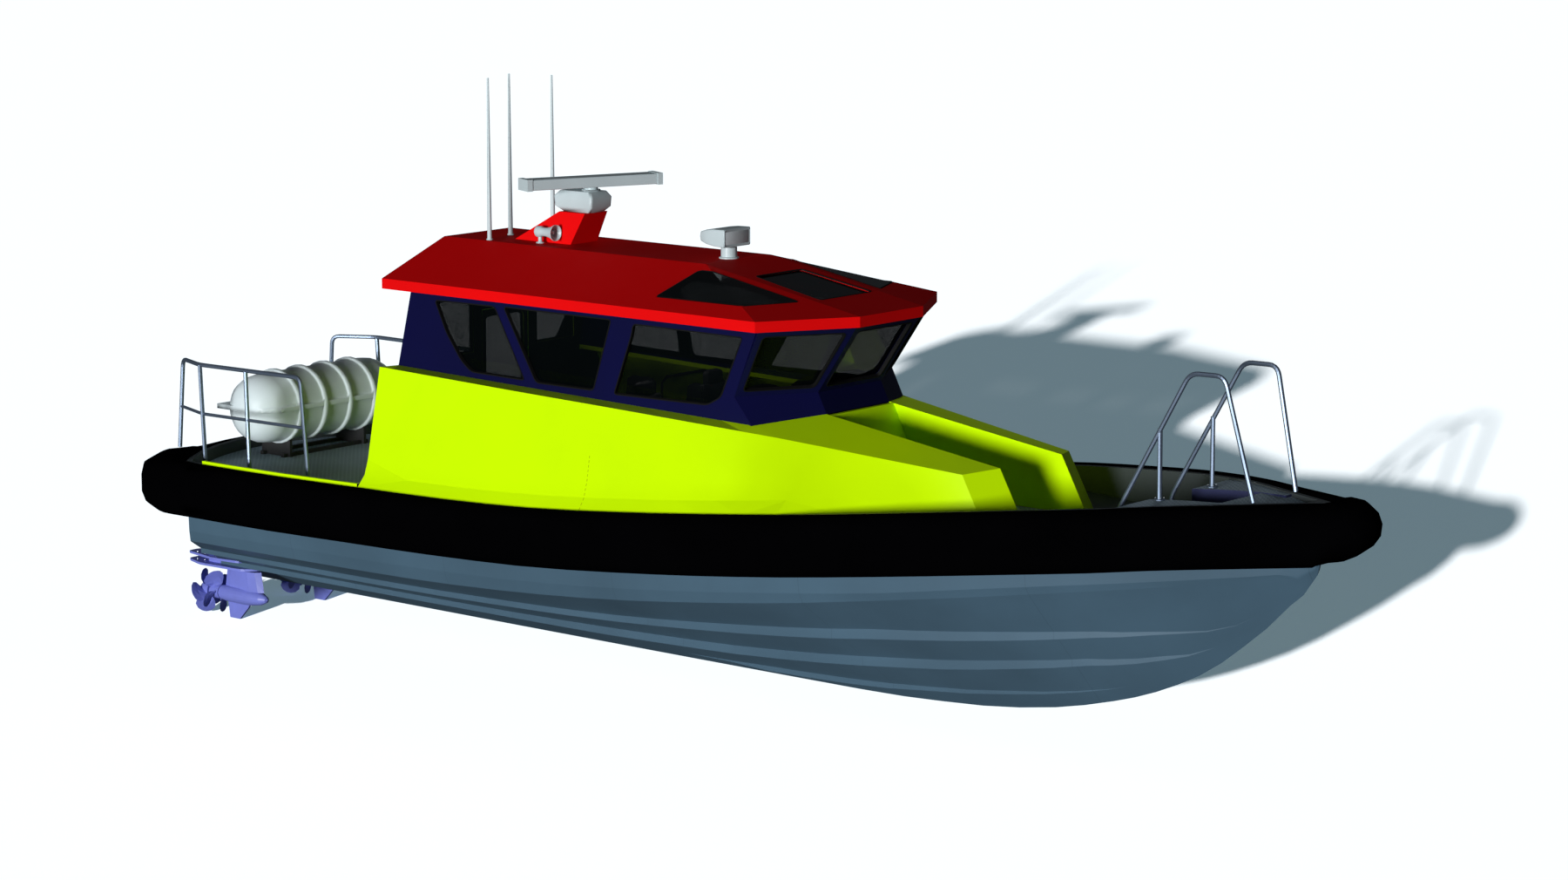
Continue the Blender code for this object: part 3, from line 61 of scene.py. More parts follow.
bm = bmesh.new()
bmesh.ops.create_grid(bm, x_segments=2, y_segments=2, size=FLOOR_HALF)
bmesh.ops.translate(bm, verts=bm.verts, vec=(0, 0, SKEG_FLOOR_Z))
floor_mesh = bpy.data.meshes.new("studio_floor")
bm.to_mesh(floor_mesh)
bm.free()
studio_floor = bpy.data.objects.new("studio_floor", floor_mesh)
bpy.context.scene.collection.objects.link(studio_floor)
floor_paint = bpy.data.materials.new("pale_floor")
floor_paint.use_nodes = True
floor_shader = floor_paint.node_tree.nodes["Principled BSDF"]
floor_shader.inputs["Base Color"].default_value = (0.86, 0.87, 0.88, 1)
floor_shader.inputs["Roughness"].default_value = 0.9
floor_shader.inputs["Specular IOR Level"].default_value = 0.0
floor_shader.inputs["Emission Color"].default_value = (0.10, 0.16, 0.19, 1)
floor_shader.inputs["Emission Strength"].default_value = 1.0
floor_mesh.materials.append(floor_paint)
studio_floor.visible_diffuse = False
studio_floor.visible_glossy = False

floor_group = bpy.data.collections.new("floor_light_group")
boat_group = bpy.data.collections.new("boat_light_group")
floor_group.objects.link(studio_floor)
# Each lamp has its strength, its width in the sky, its heading and height in degrees, and what it lights.
LAMPS = (
    ("lamp_on_floor", 17.5, 0.8, 114.6, 10.3, floor_group),
    ("lamp_on_boat", 4.6, 15.0, 101.5, 2.0, boat_group),
    ("fill_on_boat", 3.0, 14.0, -59.5, 3.0, boat_group),
)
for label, strength, size, heading, height, group in LAMPS:
    lamp_data = bpy.data.lights.new(label, "SUN")
    lamp_data.energy = strength
    lamp_data.angle = math.radians(size)
    lamp = bpy.data.objects.new(label, lamp_data)
    lamp.rotation_euler = (math.radians(90 - height), 0, math.radians(heading - 90))
    bpy.context.scene.collection.objects.link(lamp)
    lamp.light_linking.receiver_collection = group
    lamp.visible_glossy = label != "fill_on_boat"
cabin_data = bpy.data.lights.new("cabin_lamp", "AREA")
cabin_data.shape = "RECTANGLE"
cabin_data.size = 2.2
cabin_data.size_y = 0.9
cabin_data.energy = 9.0
cabin_lamp = bpy.data.objects.new("cabin_lamp", cabin_data)
cabin_lamp.location = (-1.5, 0, 3.25)
cabin_lamp.visible_camera = False
bpy.context.scene.collection.objects.link(cabin_lamp)
cabin_lamp.light_linking.receiver_collection = boat_group

sky = bpy.data.worlds.new("studio")
sky.use_nodes = True
sky_tree = sky.node_tree
sky_tree.nodes.clear()
sky_out = sky_tree.nodes.new("ShaderNodeOutputWorld")
sky_mix = sky_tree.nodes.new("ShaderNodeMixShader")
sky_seen = sky_tree.nodes.new("ShaderNodeBackground")
sky_soft = sky_tree.nodes.new("ShaderNodeBackground")
sky_path = sky_tree.nodes.new("ShaderNodeLightPath")
sky_seen.inputs["Color"].default_value = (0.93, 0.94, 0.95, 1)
sky_seen.inputs["Strength"].default_value = 1.0
sky_soft.inputs["Color"].default_value = (0.80, 0.90, 1.0, 1)
sky_soft.inputs["Strength"].default_value = 0.045
sky_tree.links.new(sky_path.outputs["Is Camera Ray"], sky_mix.inputs[0])
sky_tree.links.new(sky_soft.outputs[0], sky_mix.inputs[1])
sky_tree.links.new(sky_seen.outputs[0], sky_mix.inputs[2])
sky_tree.links.new(sky_mix.outputs[0], sky_out.inputs["Surface"])
bpy.context.scene.world = sky


# The hull is welded aluminium plate under satin blue-grey paint, with three spray rails each side.
# Its inner faces, the bulwarks and the wells, are a darker grey. Plate butts show as faint lines.
def screen_colour(red, green, blue):
    """Turns screen values of 0 to 255 into the renderer's linear colour."""
    return tuple(((c / 255 + 0.055) / 1.055) ** 2.4 if c > 10 else c / 255 / 12.92 for c in (red, green, blue))


def add_node(tree, kind, values=None, **settings):
    """Adds a node, sets its own values and joins or fills its inputs."""
    node = tree.nodes.new(kind)
    for key, value in settings.items():
        setattr(node, key, value)
    for key, value in (values or {}).items():
        if isinstance(value, bpy.types.NodeSocket):
            tree.links.new(value, node.inputs[key])
        else:
            node.inputs[key].default_value = value
    return node


def maths(tree, operation, first, second=0.0, third=0.0, clamp=False):
    """Adds one sum and gives its output."""
    node = add_node(tree, "ShaderNodeMath", {0: first, 1: second, 2: third}, operation=operation, use_clamp=clamp)
    return node.outputs[0]


def between(tree, factor, low, high):
    """Blends two colours by a factor."""
    node = add_node(tree, "ShaderNodeMix", {0: factor}, data_type="RGBA", clamp_factor=True)
    for socket, value in ((node.inputs[6], low), (node.inputs[7], high)):
        if isinstance(value, bpy.types.NodeSocket):
            tree.links.new(value, socket)
        else:
            socket.default_value = (*value, 1)
    return node.outputs[2]


def ranged(tree, value, low, high, from_low=0.0, from_high=1.0):
    """Maps a value onto another range."""
    node = add_node(tree, "ShaderNodeMapRange", {0: value, 1: from_low, 2: from_high, 3: low, 4: high})
    return node.outputs[0]


def start_group(name, inputs, outputs):
    """Opens a shared shader group with named sockets."""
    group = bpy.data.node_groups.new(name, "ShaderNodeTree")
    for label, kind, value in inputs:
        socket = group.interface.new_socket(name=label, in_out="INPUT", socket_type=kind)
        if value is not None:
            socket.default_value = value
    for label, kind in outputs:
        group.interface.new_socket(name=label, in_out="OUTPUT", socket_type=kind)
    return group, group.nodes.new("NodeGroupInput"), group.nodes.new("NodeGroupOutput")


SPECK_SCALE = 260.0
weather, w_in, w_out = start_group("weather", [
    ("Vector", "NodeSocketVector", None),
    ("Size", "NodeSocketFloat", 1.0),
], [
    ("Cloud", "NodeSocketFloat"),
    ("Speck", "NodeSocketFloat"),
])
w_place = w_in.outputs["Vector"]
w_scale = maths(weather, "DIVIDE", 1.0, w_in.outputs["Size"])
w_cloud = add_node(weather, "ShaderNodeTexNoise", {"Vector": w_place, "Scale": w_scale, "Detail": 4.0})
w_speck = add_node(weather, "ShaderNodeTexNoise", {"Vector": w_place, "Scale": SPECK_SCALE, "Detail": 2.0})
weather.links.new(ranged(weather, w_cloud.outputs[0], 0.0, 1.0, 0.3, 0.7), w_out.inputs["Cloud"])
weather.links.new(w_speck.outputs[0], w_out.inputs["Speck"])

plate_line, p_in, p_out = start_group("plate_line", [
    ("Place", "NodeSocketFloat", 0.0),
    ("Pitch", "NodeSocketFloat", 1.0),
    ("Width", "NodeSocketFloat", 0.004),
], [("Line", "NodeSocketFloat")])
p_half = maths(plate_line, "MULTIPLY", p_in.outputs["Pitch"], 0.5)
p_off = maths(plate_line, "PINGPONG", p_in.outputs["Place"], p_half)
p_far = maths(plate_line, "DIVIDE", p_off, p_in.outputs["Width"])
plate_line.links.new(maths(plate_line, "SUBTRACT", 1.0, p_far, clamp=True), p_out.inputs["Line"])


class Finish:
    """A material being made, with the nodes that every finish starts from."""
    def __init__(self, name, colour, roughness, size=1.0, vary=0.12, bump=0.15, **sockets):
        self.material = bpy.data.materials.new(name)
        self.material.use_nodes = True
        self.tree = self.material.node_tree
        self.shader = self.tree.nodes["Principled BSDF"]
        for key, value in sockets.items():
            self.shader.inputs[key.replace("_", " ")].default_value = value
        self.object = add_node(self.tree, "ShaderNodeTexCoord").outputs["Object"]
        self.weather = self.group("weather", {"Vector": self.object, "Size": size})
        self.cloud, self.speck = self.weather.outputs["Cloud"], self.weather.outputs["Speck"]
        self.colour = between(self.tree, self.cloud, [c * (1 - vary) for c in colour],
                              [min(1.0, c * (1 + vary * 0.6)) for c in colour])
        self.roughness = ranged(self.tree, self.cloud, roughness * 1.12, roughness * 0.9)
        self.height = maths(self.tree, "MULTIPLY", self.speck, bump)
        self.strength, self.depth = 0.25, 0.002

    def group(self, name, values):
        """Places a shared group with its values."""
        node = self.tree.nodes.new("ShaderNodeGroup")
        node.node_tree = bpy.data.node_groups[name]
        for key, value in values.items():
            if isinstance(value, bpy.types.NodeSocket):
                self.tree.links.new(value, node.inputs[key])
            else:
                node.inputs[key].default_value = value
        return node

    def axes(self):
        """Gives the object position as three values."""
        return add_node(self.tree, "ShaderNodeSeparateXYZ", {0: self.object}).outputs

    def facing(self):
        """Gives the surface direction as three values."""
        geometry = add_node(self.tree, "ShaderNodeNewGeometry")
        return add_node(self.tree, "ShaderNodeSeparateXYZ", {0: geometry.outputs["True Normal"]}).outputs

    def done(self):
        """Joins colour, roughness and bump to the shader."""
        bump = add_node(self.tree, "ShaderNodeBump", {"Strength": self.strength, "Distance": self.depth,
                                                      "Height": self.height})
        self.tree.links.new(self.colour, self.shader.inputs["Base Color"])
        self.tree.links.new(self.roughness, self.shader.inputs["Roughness"])
        self.tree.links.new(bump.outputs[0], self.shader.inputs["Normal"])
        return self.material


def paint_nodes(material, *names):
    """Gives CAD nodes their finish."""
    for name in names:
        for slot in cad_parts[name].material_slots:
            slot.material = material
        boat_group.objects.link(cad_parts[name])


def place_piece(bm, name, material, body="boat", sharp=35.0, stands_for=(), weighted=False):
    """Turns a bmesh into a finished piece that rides on a body."""
    mesh = bpy.data.meshes.new(name)
    bm.to_mesh(mesh)
    bm.free()
    for face in mesh.polygons:
        face.use_smooth = True
    if sharp:
        mesh.set_sharp_from_angle(angle=math.radians(sharp))
    mesh.materials.append(material)
    piece = bpy.data.objects.new(name, mesh)
    bpy.context.scene.collection.objects.link(piece)
    boat_group.objects.link(piece)
    if weighted:
        even = piece.modifiers.new("even_shading", "WEIGHTED_NORMAL")
        even.keep_sharp = True
        even.weight = 90
    if stands_for:
        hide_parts(*stands_for)
    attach(piece, body)
    return piece


MERGE_GAP = 0.00002
RUNS_LENGTHWISE, CROSSING_SHARP = 0.80, 32.0


def smooth_skin(node, material, sharp, body="boat", lengthwise=None):
    """Stands a merged copy of a CAD node in its place, so that its curved faces shade smoothly.

    With a lengthwise angle, edges along the boat are sharp from that angle, and all others from a wider one.
    """
    bm = bmesh.new()
    bm.from_mesh(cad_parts[node].data)
    bmesh.ops.remove_doubles(bm, verts=bm.verts, dist=MERGE_GAP)
    for edge in bm.edges if lengthwise else ():
        run = abs((edge.verts[1].co - edge.verts[0].co).normalized().x)
        turn = math.degrees(edge.calc_face_angle(0.0))
        edge.smooth = turn < (lengthwise if run > RUNS_LENGTHWISE else CROSSING_SHARP)
    return place_piece(bm, node + "_skin", material, body, sharp, (node,), weighted=True)


hull_paint = Finish("hull_paint", screen_colour(72, 98, 116), 0.5, size=1.6, vary=0.16, bump=0.2,
                    Specular_IOR_Level=0.2)
hx, hy = hull_paint.axes()[:2]
nx, ny, nz = hull_paint.facing()
tree = hull_paint.tree
toward_middle = maths(tree, "LESS_THAN", maths(tree, "MULTIPLY", ny, maths(tree, "SIGN", hy)), -0.03)
upward = maths(tree, "GREATER_THAN", nz, 0.5)
stern_inside = maths(tree, "MULTIPLY", maths(tree, "GREATER_THAN", nx, 0.5), maths(tree, "LESS_THAN", hx, -3.0))
well_end = maths(tree, "MULTIPLY", maths(tree, "LESS_THAN", nx, -0.5), maths(tree, "GREATER_THAN", hx, -6.3))
inside = maths(tree, "ADD", maths(tree, "ADD", toward_middle, upward, clamp=True),
               maths(tree, "ADD", stern_inside, well_end, clamp=True), clamp=True)
butts = hull_paint.group("plate_line", {"Place": maths(tree, "ADD", hx, 0.35), "Pitch": 2.4, "Width": 0.006})
butt_shade = maths(tree, "MULTIPLY", butts.outputs[0], 0.25)
hull_paint.colour = between(tree, butt_shade, hull_paint.colour, screen_colour(40, 54, 66))
hull_paint.colour = between(tree, inside, hull_paint.colour, screen_colour(66, 72, 74))
hull_paint.height = maths(tree, "SUBTRACT", hull_paint.height, maths(tree, "MULTIPLY", butts.outputs[0], 0.5))
smooth_skin("hull", hull_paint.done(), None, lengthwise=6.0)

# The foam collar is a closed-cell core in a thick matt black skin, strapped along the sheer and round the stern.
# Its skin has a fine pebble grain with welded joins every two metres or so.
collar_skin = Finish("collar_skin", screen_colour(3, 3, 4), 0.75, size=0.9, vary=0.25, bump=0.6,
                     Specular_IOR_Level=0.0)
tree = collar_skin.tree
along = maths(tree, "ADD", collar_skin.axes()[0], 0.62)
joins = collar_skin.group("plate_line", {"Place": along, "Pitch": 2.15, "Width": 0.009})
collar_skin.height = maths(tree, "SUBTRACT", collar_skin.height, joins.outputs[0])
collar_skin.strength = 0.35
collar_skin.done()
smooth_skin("fender_collar", collar_skin.material, 50.0)
smooth_skin("fender_stern", collar_skin.material, 50.0)


# The deckhouse, its aft bulkhead and the deck edging are aluminium under gloss yellow-green paint.
# Two side panels meet at a stitched butt amidships, which shows as a row of small dark dashes. The bulkhead and its
# door are lined in charcoal on the cabin side.
lime_paint = Finish("lime_paint", screen_colour(205, 254, 0), 0.45, size=1.3, vary=0.04, bump=0.12,
                    Specular_IOR_Level=0.06)
STITCH_WIDTH, STITCH_TOP_Z, DASHES_PER_METRE = 0.006, 1.70, 22.0
LINING_X = -3.5
tree = lime_paint.tree
lime_axes = lime_paint.axes()
lx, lz = lime_axes[0], lime_axes[2]
slant = maths(tree, "ADD", lx, maths(tree, "MULTIPLY_ADD", lz, 0.12, 0.575))
off_butt = maths(tree, "DIVIDE", maths(tree, "ABSOLUTE", slant), STITCH_WIDTH)
near = maths(tree, "SUBTRACT", 1.0, off_butt, clamp=True)
dashes = maths(tree, "GREATER_THAN", maths(tree, "FRACT", maths(tree, "MULTIPLY", lz, DASHES_PER_METRE)), 0.42)
low_part = maths(tree, "LESS_THAN", lz, STITCH_TOP_Z)
stitch = maths(tree, "MULTIPLY", maths(tree, "MULTIPLY", near, dashes), low_part)
stitch_shade = maths(tree, "MULTIPLY", stitch, 0.75)
lime_paint.colour = between(tree, stitch_shade, lime_paint.colour, screen_colour(70, 92, 10))
lime_paint.height = maths(tree, "SUBTRACT", lime_paint.height, stitch)
own_normal = add_node(tree, "ShaderNodeTexCoord").outputs["Normal"]
own_normal_x = add_node(tree, "ShaderNodeSeparateXYZ", {0: own_normal}).outputs[0]
lining = maths(tree, "MULTIPLY", maths(tree, "GREATER_THAN", own_normal_x, 0.9), maths(tree, "LESS_THAN", lx, LINING_X))
lime_paint.colour = between(tree, lining, lime_paint.colour, screen_colour(24, 28, 30))
paint_nodes(lime_paint.done(), "deckhouse_front", "deck_edge_port", "deck_edge_starboard", "aft_bulkhead")
smooth_skin("deckhouse_side_port", lime_paint.material, 12.0)
smooth_skin("deckhouse_side_starboard", lime_paint.material, 12.0)

# The wheelhouse walls lean outward between the deckhouse and the roof. They are thin plate in dark blue satin paint.
navy_paint = Finish("navy_paint", screen_colour(12, 13, 58), 0.5, size=1.1, vary=0.14, bump=0.15,
                    Specular_IOR_Level=0.08)
paint_nodes(navy_paint.done(), "wheelhouse_front", "wheelhouse_side_port", "wheelhouse_side_starboard")

# The roof and the radar pylon are red gloss paint on plate. The flat top is rougher, and it is painted a deeper red as
# painted shade.
red_paint = Finish("red_paint", screen_colour(228, 9, 12), 0.5, size=1.2, vary=0.08, bump=0.12,
                   Specular_IOR_Level=0.05)
tree = red_paint.tree
flat_top_matt_and_shade = maths(tree, "GREATER_THAN", red_paint.facing()[2], 0.5)
# Painted shade: the flat top's colour is darkened toward a deeper red, standing in for the light it misses under the
# low lamp.
red_paint.colour = between(tree, maths(tree, "MULTIPLY", flat_top_matt_and_shade, 0.85), red_paint.colour, screen_colour(180, 2, 4))
red_paint.roughness = maths(tree, "MULTIPLY_ADD", flat_top_matt_and_shade, 0.2, red_paint.roughness)
paint_nodes(red_paint.done(), "roof", "radar_pylon")


# The decks are dark grey non-slip panels, with short raised bars that change direction from cell to cell.
# The bow platform has the same panel on its ledges and dark blue painted risers.
DECK_CELL = 0.062
BAR_LENGTH, BAR_WIDTH = (0.38, 0.46), (0.10, 0.18)
tread, t_in, t_out = start_group("tread_bars", [
    ("Vector", "NodeSocketVector", None),
    ("Pitch", "NodeSocketFloat", 0.03),
], [("Bars", "NodeSocketFloat")])
t_axes = add_node(tread, "ShaderNodeSeparateXYZ", {0: t_in.outputs["Vector"]}).outputs
t_u = maths(tread, "DIVIDE", maths(tread, "ADD", t_axes[0], t_axes[1]), t_in.outputs["Pitch"])
t_v = maths(tread, "DIVIDE", maths(tread, "SUBTRACT", t_axes[0], t_axes[1]), t_in.outputs["Pitch"])
t_cell = maths(tread, "ADD", maths(tread, "FLOOR", t_u), maths(tread, "FLOOR", t_v))
t_parity = maths(tread, "MODULO", maths(tread, "ABSOLUTE", t_cell), 2.0)
t_cu = maths(tread, "ABSOLUTE", maths(tread, "SUBTRACT", maths(tread, "FRACT", t_u), 0.5))
t_cv = maths(tread, "ABSOLUTE", maths(tread, "SUBTRACT", maths(tread, "FRACT", t_v), 0.5))
t_bar_a, t_bar_b = [
    maths(tread, "MULTIPLY", ranged(tread, along, 1.0, 0.0, *BAR_LENGTH), ranged(tread, across, 1.0, 0.0, *BAR_WIDTH))
    for along, across in ((t_cu, t_cv), (t_cv, t_cu))
]
t_even = maths(tread, "SUBTRACT", 1.0, t_parity)
t_pick = maths(tread, "ADD", maths(tread, "MULTIPLY", t_bar_a, t_parity), maths(tread, "MULTIPLY", t_bar_b, t_even))
tread.links.new(t_pick, t_out.inputs["Bars"])


def deck_panel(name, riser=None):
    """Makes the non-slip finish, with painted sides if a riser colour is given."""
    panel = Finish(name, screen_colour(128, 146, 158), 0.72, size=0.8, vary=0.15, bump=0.3)
    tree = panel.tree
    bars = panel.group("tread_bars", {"Vector": panel.object, "Pitch": DECK_CELL}).outputs[0]
    panel.colour = between(tree, maths(tree, "MULTIPLY", bars, 0.6), panel.colour, screen_colour(176, 192, 202))
    if riser:
        flat = maths(tree, "GREATER_THAN", panel.facing()[2], 0.5)
        panel.colour = between(tree, flat, riser, panel.colour)
        bars = maths(tree, "MULTIPLY", bars, flat)
    panel.height = maths(tree, "ADD", panel.height, bars)
    panel.strength = 0.6
    panel.depth = 0.003
    return panel.done()


paint_nodes(deck_panel("deck_panel"), "aft_deck", "fore_deck")
paint_nodes(deck_panel("platform_panel", screen_colour(36, 42, 84)), "bow_platform")

# The bow and stern rails are bent stainless tube with a brushed finish, welded to round foot plates.
rail_steel = Finish("rail_steel", screen_colour(128, 144, 166), 0.44, size=0.5, vary=0.12, bump=0.1, Metallic=0.85)
paint_nodes(rail_steel.done(), "bow_rail_port", "bow_rail_starboard", "stern_rail_port", "stern_rail_starboard")

# The stern drives turn under fixed mountings with two plates each. All is cast metal in pale violet-blue paint.
drive_paint = Finish("drive_paint", screen_colour(120, 130, 214), 0.4, size=0.3, vary=0.1, bump=0.25)
drive_paint.done()
for side in ("port", "starboard"):
    paint_nodes(drive_paint.material, f"drive_mount_{side}", f"drive_leg_{side}", f"propeller_front_{side}",
                f"propeller_rear_{side}")

# The radar, horn, searchlight and whip aerials are light grey mouldings.
grey_moulding = Finish("grey_moulding", screen_colour(190, 206, 210), 0.4, size=0.4, vary=0.06, bump=0.2)
paint_nodes(grey_moulding.done(), "radar_scanner", "searchlight_base")
for name in ("radar_gearbox", "horn", "searchlight_head", "aerial_centre", "aerial_port", "aerial_starboard"):
    body = name if name == "searchlight_head" else "boat"
    smooth_skin(name, grey_moulding.material, 32.0, body)

# The liferaft is packed in a ribbed case of white glass-fibre moulding, gloss outside, with a joint band round it.
raft_case = Finish("raft_case", screen_colour(226, 240, 244), 0.35, size=0.5, vary=0.05, bump=0.15)
smooth_skin("liferaft", raft_case.done(), 32.0)

# The liferaft rests on a black coated cradle, and the helm console has a black textured cover.
black_coat = Finish("black_coat", screen_colour(30, 31, 33), 0.6, size=0.3, vary=0.2, bump=0.5)
paint_nodes(black_coat.done(), "raft_cradle", "helm_console")

# All panes are dark tinted safety glass, set close behind the plate. The roof panes have the deeper tint.
tinted_glass = Finish("tinted_glass", screen_colour(5, 9, 10), 0.06, size=0.8, vary=0.2, bump=0.0, Alpha=0.63,
                      Specular_IOR_Level=0.1)
tinted_glass.strength = 0.0
paint_nodes(tinted_glass.done(), "windscreen_centre", "windscreen_port", "windscreen_starboard", "side_glass_port",
            "side_glass_starboard")
roof_tint = Finish("roof_tint", screen_colour(5, 8, 9), 0.07, size=0.8, vary=0.2, bump=0.0, Alpha=0.87,
                   Specular_IOR_Level=0.08)
roof_tint.strength = 0.0
paint_nodes(roof_tint.done(), "roof_glass_centre")

# Each window is held in the plate by a black rubber section that fills the cut edge and stands a little proud.
# The roof side windows fold over the roof's edge, so their section folds too.
seal_rubber = Finish("seal_rubber", screen_colour(14, 14, 15), 0.7, size=0.3, vary=0.2, bump=0.5,
                     Specular_IOR_Level=0.15)
seal_rubber.done()
SEAL_WIDTH, SEAL_PROUD, ROOF_SEAL_DEPTH = 0.014, 0.004, 0.012
SAME_POINT = 0.0005


def window_seal(name, outlines, outward, corner=0.05, depth=0.040, body="boat"):
    """Makes a rubber section round one window, from one or two flat outlines that share an edge."""
    bm = bmesh.new()
    for outline in outlines:
        bm.faces.new([bm.verts.new(point) for point in outline])
    bmesh.ops.remove_doubles(bm, verts=bm.verts, dist=SAME_POINT)
    if corner:
        bmesh.ops.bevel(bm, geom=bm.verts[:], offset=corner, segments=4, profile=0.5, affect="VERTICES", material=-1)
    outward = Vector(outward).normalized()
    for face in bm.faces:
        face.normal_update()
        if face.normal.dot(outward) < 0:
            face.normal_flip()
    ring = bmesh.ops.inset_region(bm, faces=bm.faces[:], thickness=SEAL_WIDTH, use_even_offset=True, use_boundary=True)
    pane = [face for face in bm.faces if face not in set(ring["faces"])]
    bmesh.ops.delete(bm, geom=pane, context="FACES")
    bmesh.ops.translate(bm, verts=bm.verts, vec=outward * SEAL_PROUD)
    raised = bmesh.ops.extrude_face_region(bm, geom=bm.faces[:])["geom"]
    bmesh.ops.translate(bm, verts=[v for v in raised if isinstance(v, bmesh.types.BMVert)], vec=-outward * depth)
    bmesh.ops.recalc_face_normals(bm, faces=bm.faces)
    return place_piece(bm, name, seal_rubber.material, body)


WALL_LEAN, WALL_Y, WALL_Z = 0.18, 1.277, 2.4
SIDE_WINDOWS = [
    [(-3.255, 3.045), (-2.369, 3.054), (-2.076, 2.272), (-2.86, 2.285), (-2.99, 2.40), (-3.156, 2.70)],
    [(-2.254, 3.062), (-0.724, 3.062), (-1.110, 2.262), (-1.928, 2.262)],
    [(-0.441, 3.045), (1.031, 3.039), (0.640, 2.375), (0.440, 2.272), (-0.840, 2.252), (-0.479, 2.93)],
]
FRONT_CENTRE = [(1.308, -0.447, 2.451), (1.308, 0.447, 2.451), (1.733, 0.447, 3.058), (1.733, -0.447, 3.058)]
FRONT_SIDE = [(1.277, 0.565, 2.453), (1.699, 0.565, 3.056), (1.237, 1.341, 3.056), (0.880, 1.233, 2.453)]
ROOF_CENTRE = [(0.32, -0.376, 3.488), (1.233, -0.424, 3.324), (1.233, 0.424, 3.324), (0.32, 0.376, 3.488)]
ROOF_SIDE = [
    [(-0.015, 0.644, 3.535), (1.10, 0.649, 3.333), (1.140, 0.672, 3.324), (0.893, 1.182, 3.314), (0.857, 1.215, 3.317)],
    [(0.857, 1.215, 3.317), (-0.25, 1.231, 3.312), (-0.278, 1.195, 3.324), (-0.190, 0.672, 3.525),
     (-0.150, 0.644, 3.535), (-0.015, 0.644, 3.535)],
]
window_seal("windscreen_seal_centre", [FRONT_CENTRE], (0.819, 0, -0.574))
window_seal("roof_seal_centre", [ROOF_CENTRE], (0.177, 0, 0.984), depth=ROOF_SEAL_DEPTH)
for hand, side in ((1, "port"), (-1, "starboard")):
    for number, outline in enumerate(SIDE_WINDOWS):
        wall = [(x, hand * (WALL_Y + WALL_LEAN * (z - WALL_Z)), z) for x, z in outline]
        window_seal(f"side_window_seal_{side}_{number + 1}", [wall], (0, hand * 0.984, -0.177))
    front_side = [(x, hand * y, z) for x, y, z in FRONT_SIDE]
    window_seal(f"windscreen_seal_{side}", [front_side], (0.736, hand * 0.437, -0.516))
    roof_side = [[(x, hand * y, z) for x, y, z in flat] for flat in ROOF_SIDE]
    window_seal(f"roof_seal_{side}", roof_side, (0.1, hand * 0.22, 0.97), corner=0, depth=ROOF_SEAL_DEPTH)

# The roof side panes are sheets of 6 mm glass with a fold where the roof has one. They fill the whole window,
# out to its low aft corner.
GLASS, PANE_SUNK = 0.006, 0.004
for hand, side in ((1, "port"), (-1, "starboard")):
    bm = bmesh.new()
    for flat in ROOF_SIDE:
        bm.faces.new([bm.verts.new((x, hand * y, z - PANE_SUNK)) for x, y, z in flat])
    bmesh.ops.remove_doubles(bm, verts=bm.verts, dist=SAME_POINT)
    bmesh.ops.solidify(bm, geom=bm.faces[:], thickness=GLASS)
    bmesh.ops.recalc_face_normals(bm, faces=bm.faces)
    place_piece(bm, f"roof_pane_{side}", roof_tint.material, "boat", 5.0, (f"roof_glass_{side}",))

# The aft bulkhead has a pane each side of the door, and the door has a tall one of its own. Each is 6 mm glass in
# rubber. The door leaf is a welded frame on three hinges, with a kick plate at its foot and a lever on a round rose.
BULKHEAD_FACE_X = -3.598
BULKHEAD_WINDOW = ((0.50, 2.35), (1.10, 2.35), (1.10, 2.95), (0.50, 2.95))
DOOR_LOW = (-3.596, -0.358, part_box("aft_door")[0][2])
DOOR_HIGH = (-3.558, 0.358, 2.792)
GLASS_SIDE, GLASS_FOOT, GLASS_HEAD, GLASS_CORNER = 0.300, 1.930, 2.722, 0.06
HINGE_PIN, HINGE_HEIGHTS, HINGE_HALF = (-3.610, 0.362), (1.15, 1.86, 2.57), 0.0198
for hand, side in ((1, "port"), (-1, "starboard")):
    opening = [(BULKHEAD_FACE_X, hand * y, z) for y, z in BULKHEAD_WINDOW]
    window_seal(f"bulkhead_seal_{side}", [opening], (-1, 0, 0), corner=0)
door_opening = [(DOOR_LOW[0], y, z) for y, z in ((-GLASS_SIDE, GLASS_FOOT), (GLASS_SIDE, GLASS_FOOT),
                                                (GLASS_SIDE, GLASS_HEAD), (-GLASS_SIDE, GLASS_HEAD))]
window_seal("door_seal", [door_opening], (-1, 0, 0), corner=GLASS_CORNER, depth=0.030, body="aft_door")


def block(bm, low, high, soften=0.0):
    """Adds a box between two corners, with softened edges if asked."""
    made = bmesh.ops.create_cube(bm, size=1.0)["verts"]
    bmesh.ops.scale(bm, verts=made, vec=[b - a for a, b in zip(low, high)])
    bmesh.ops.translate(bm, verts=made, vec=[(a + b) / 2 for a, b in zip(low, high)])
    if soften:
        edges = list({edge for vert in made for edge in vert.link_edges})
        bmesh.ops.bevel(bm, geom=edges, offset=soften, segments=2, profile=0.5, affect="EDGES", material=-1)


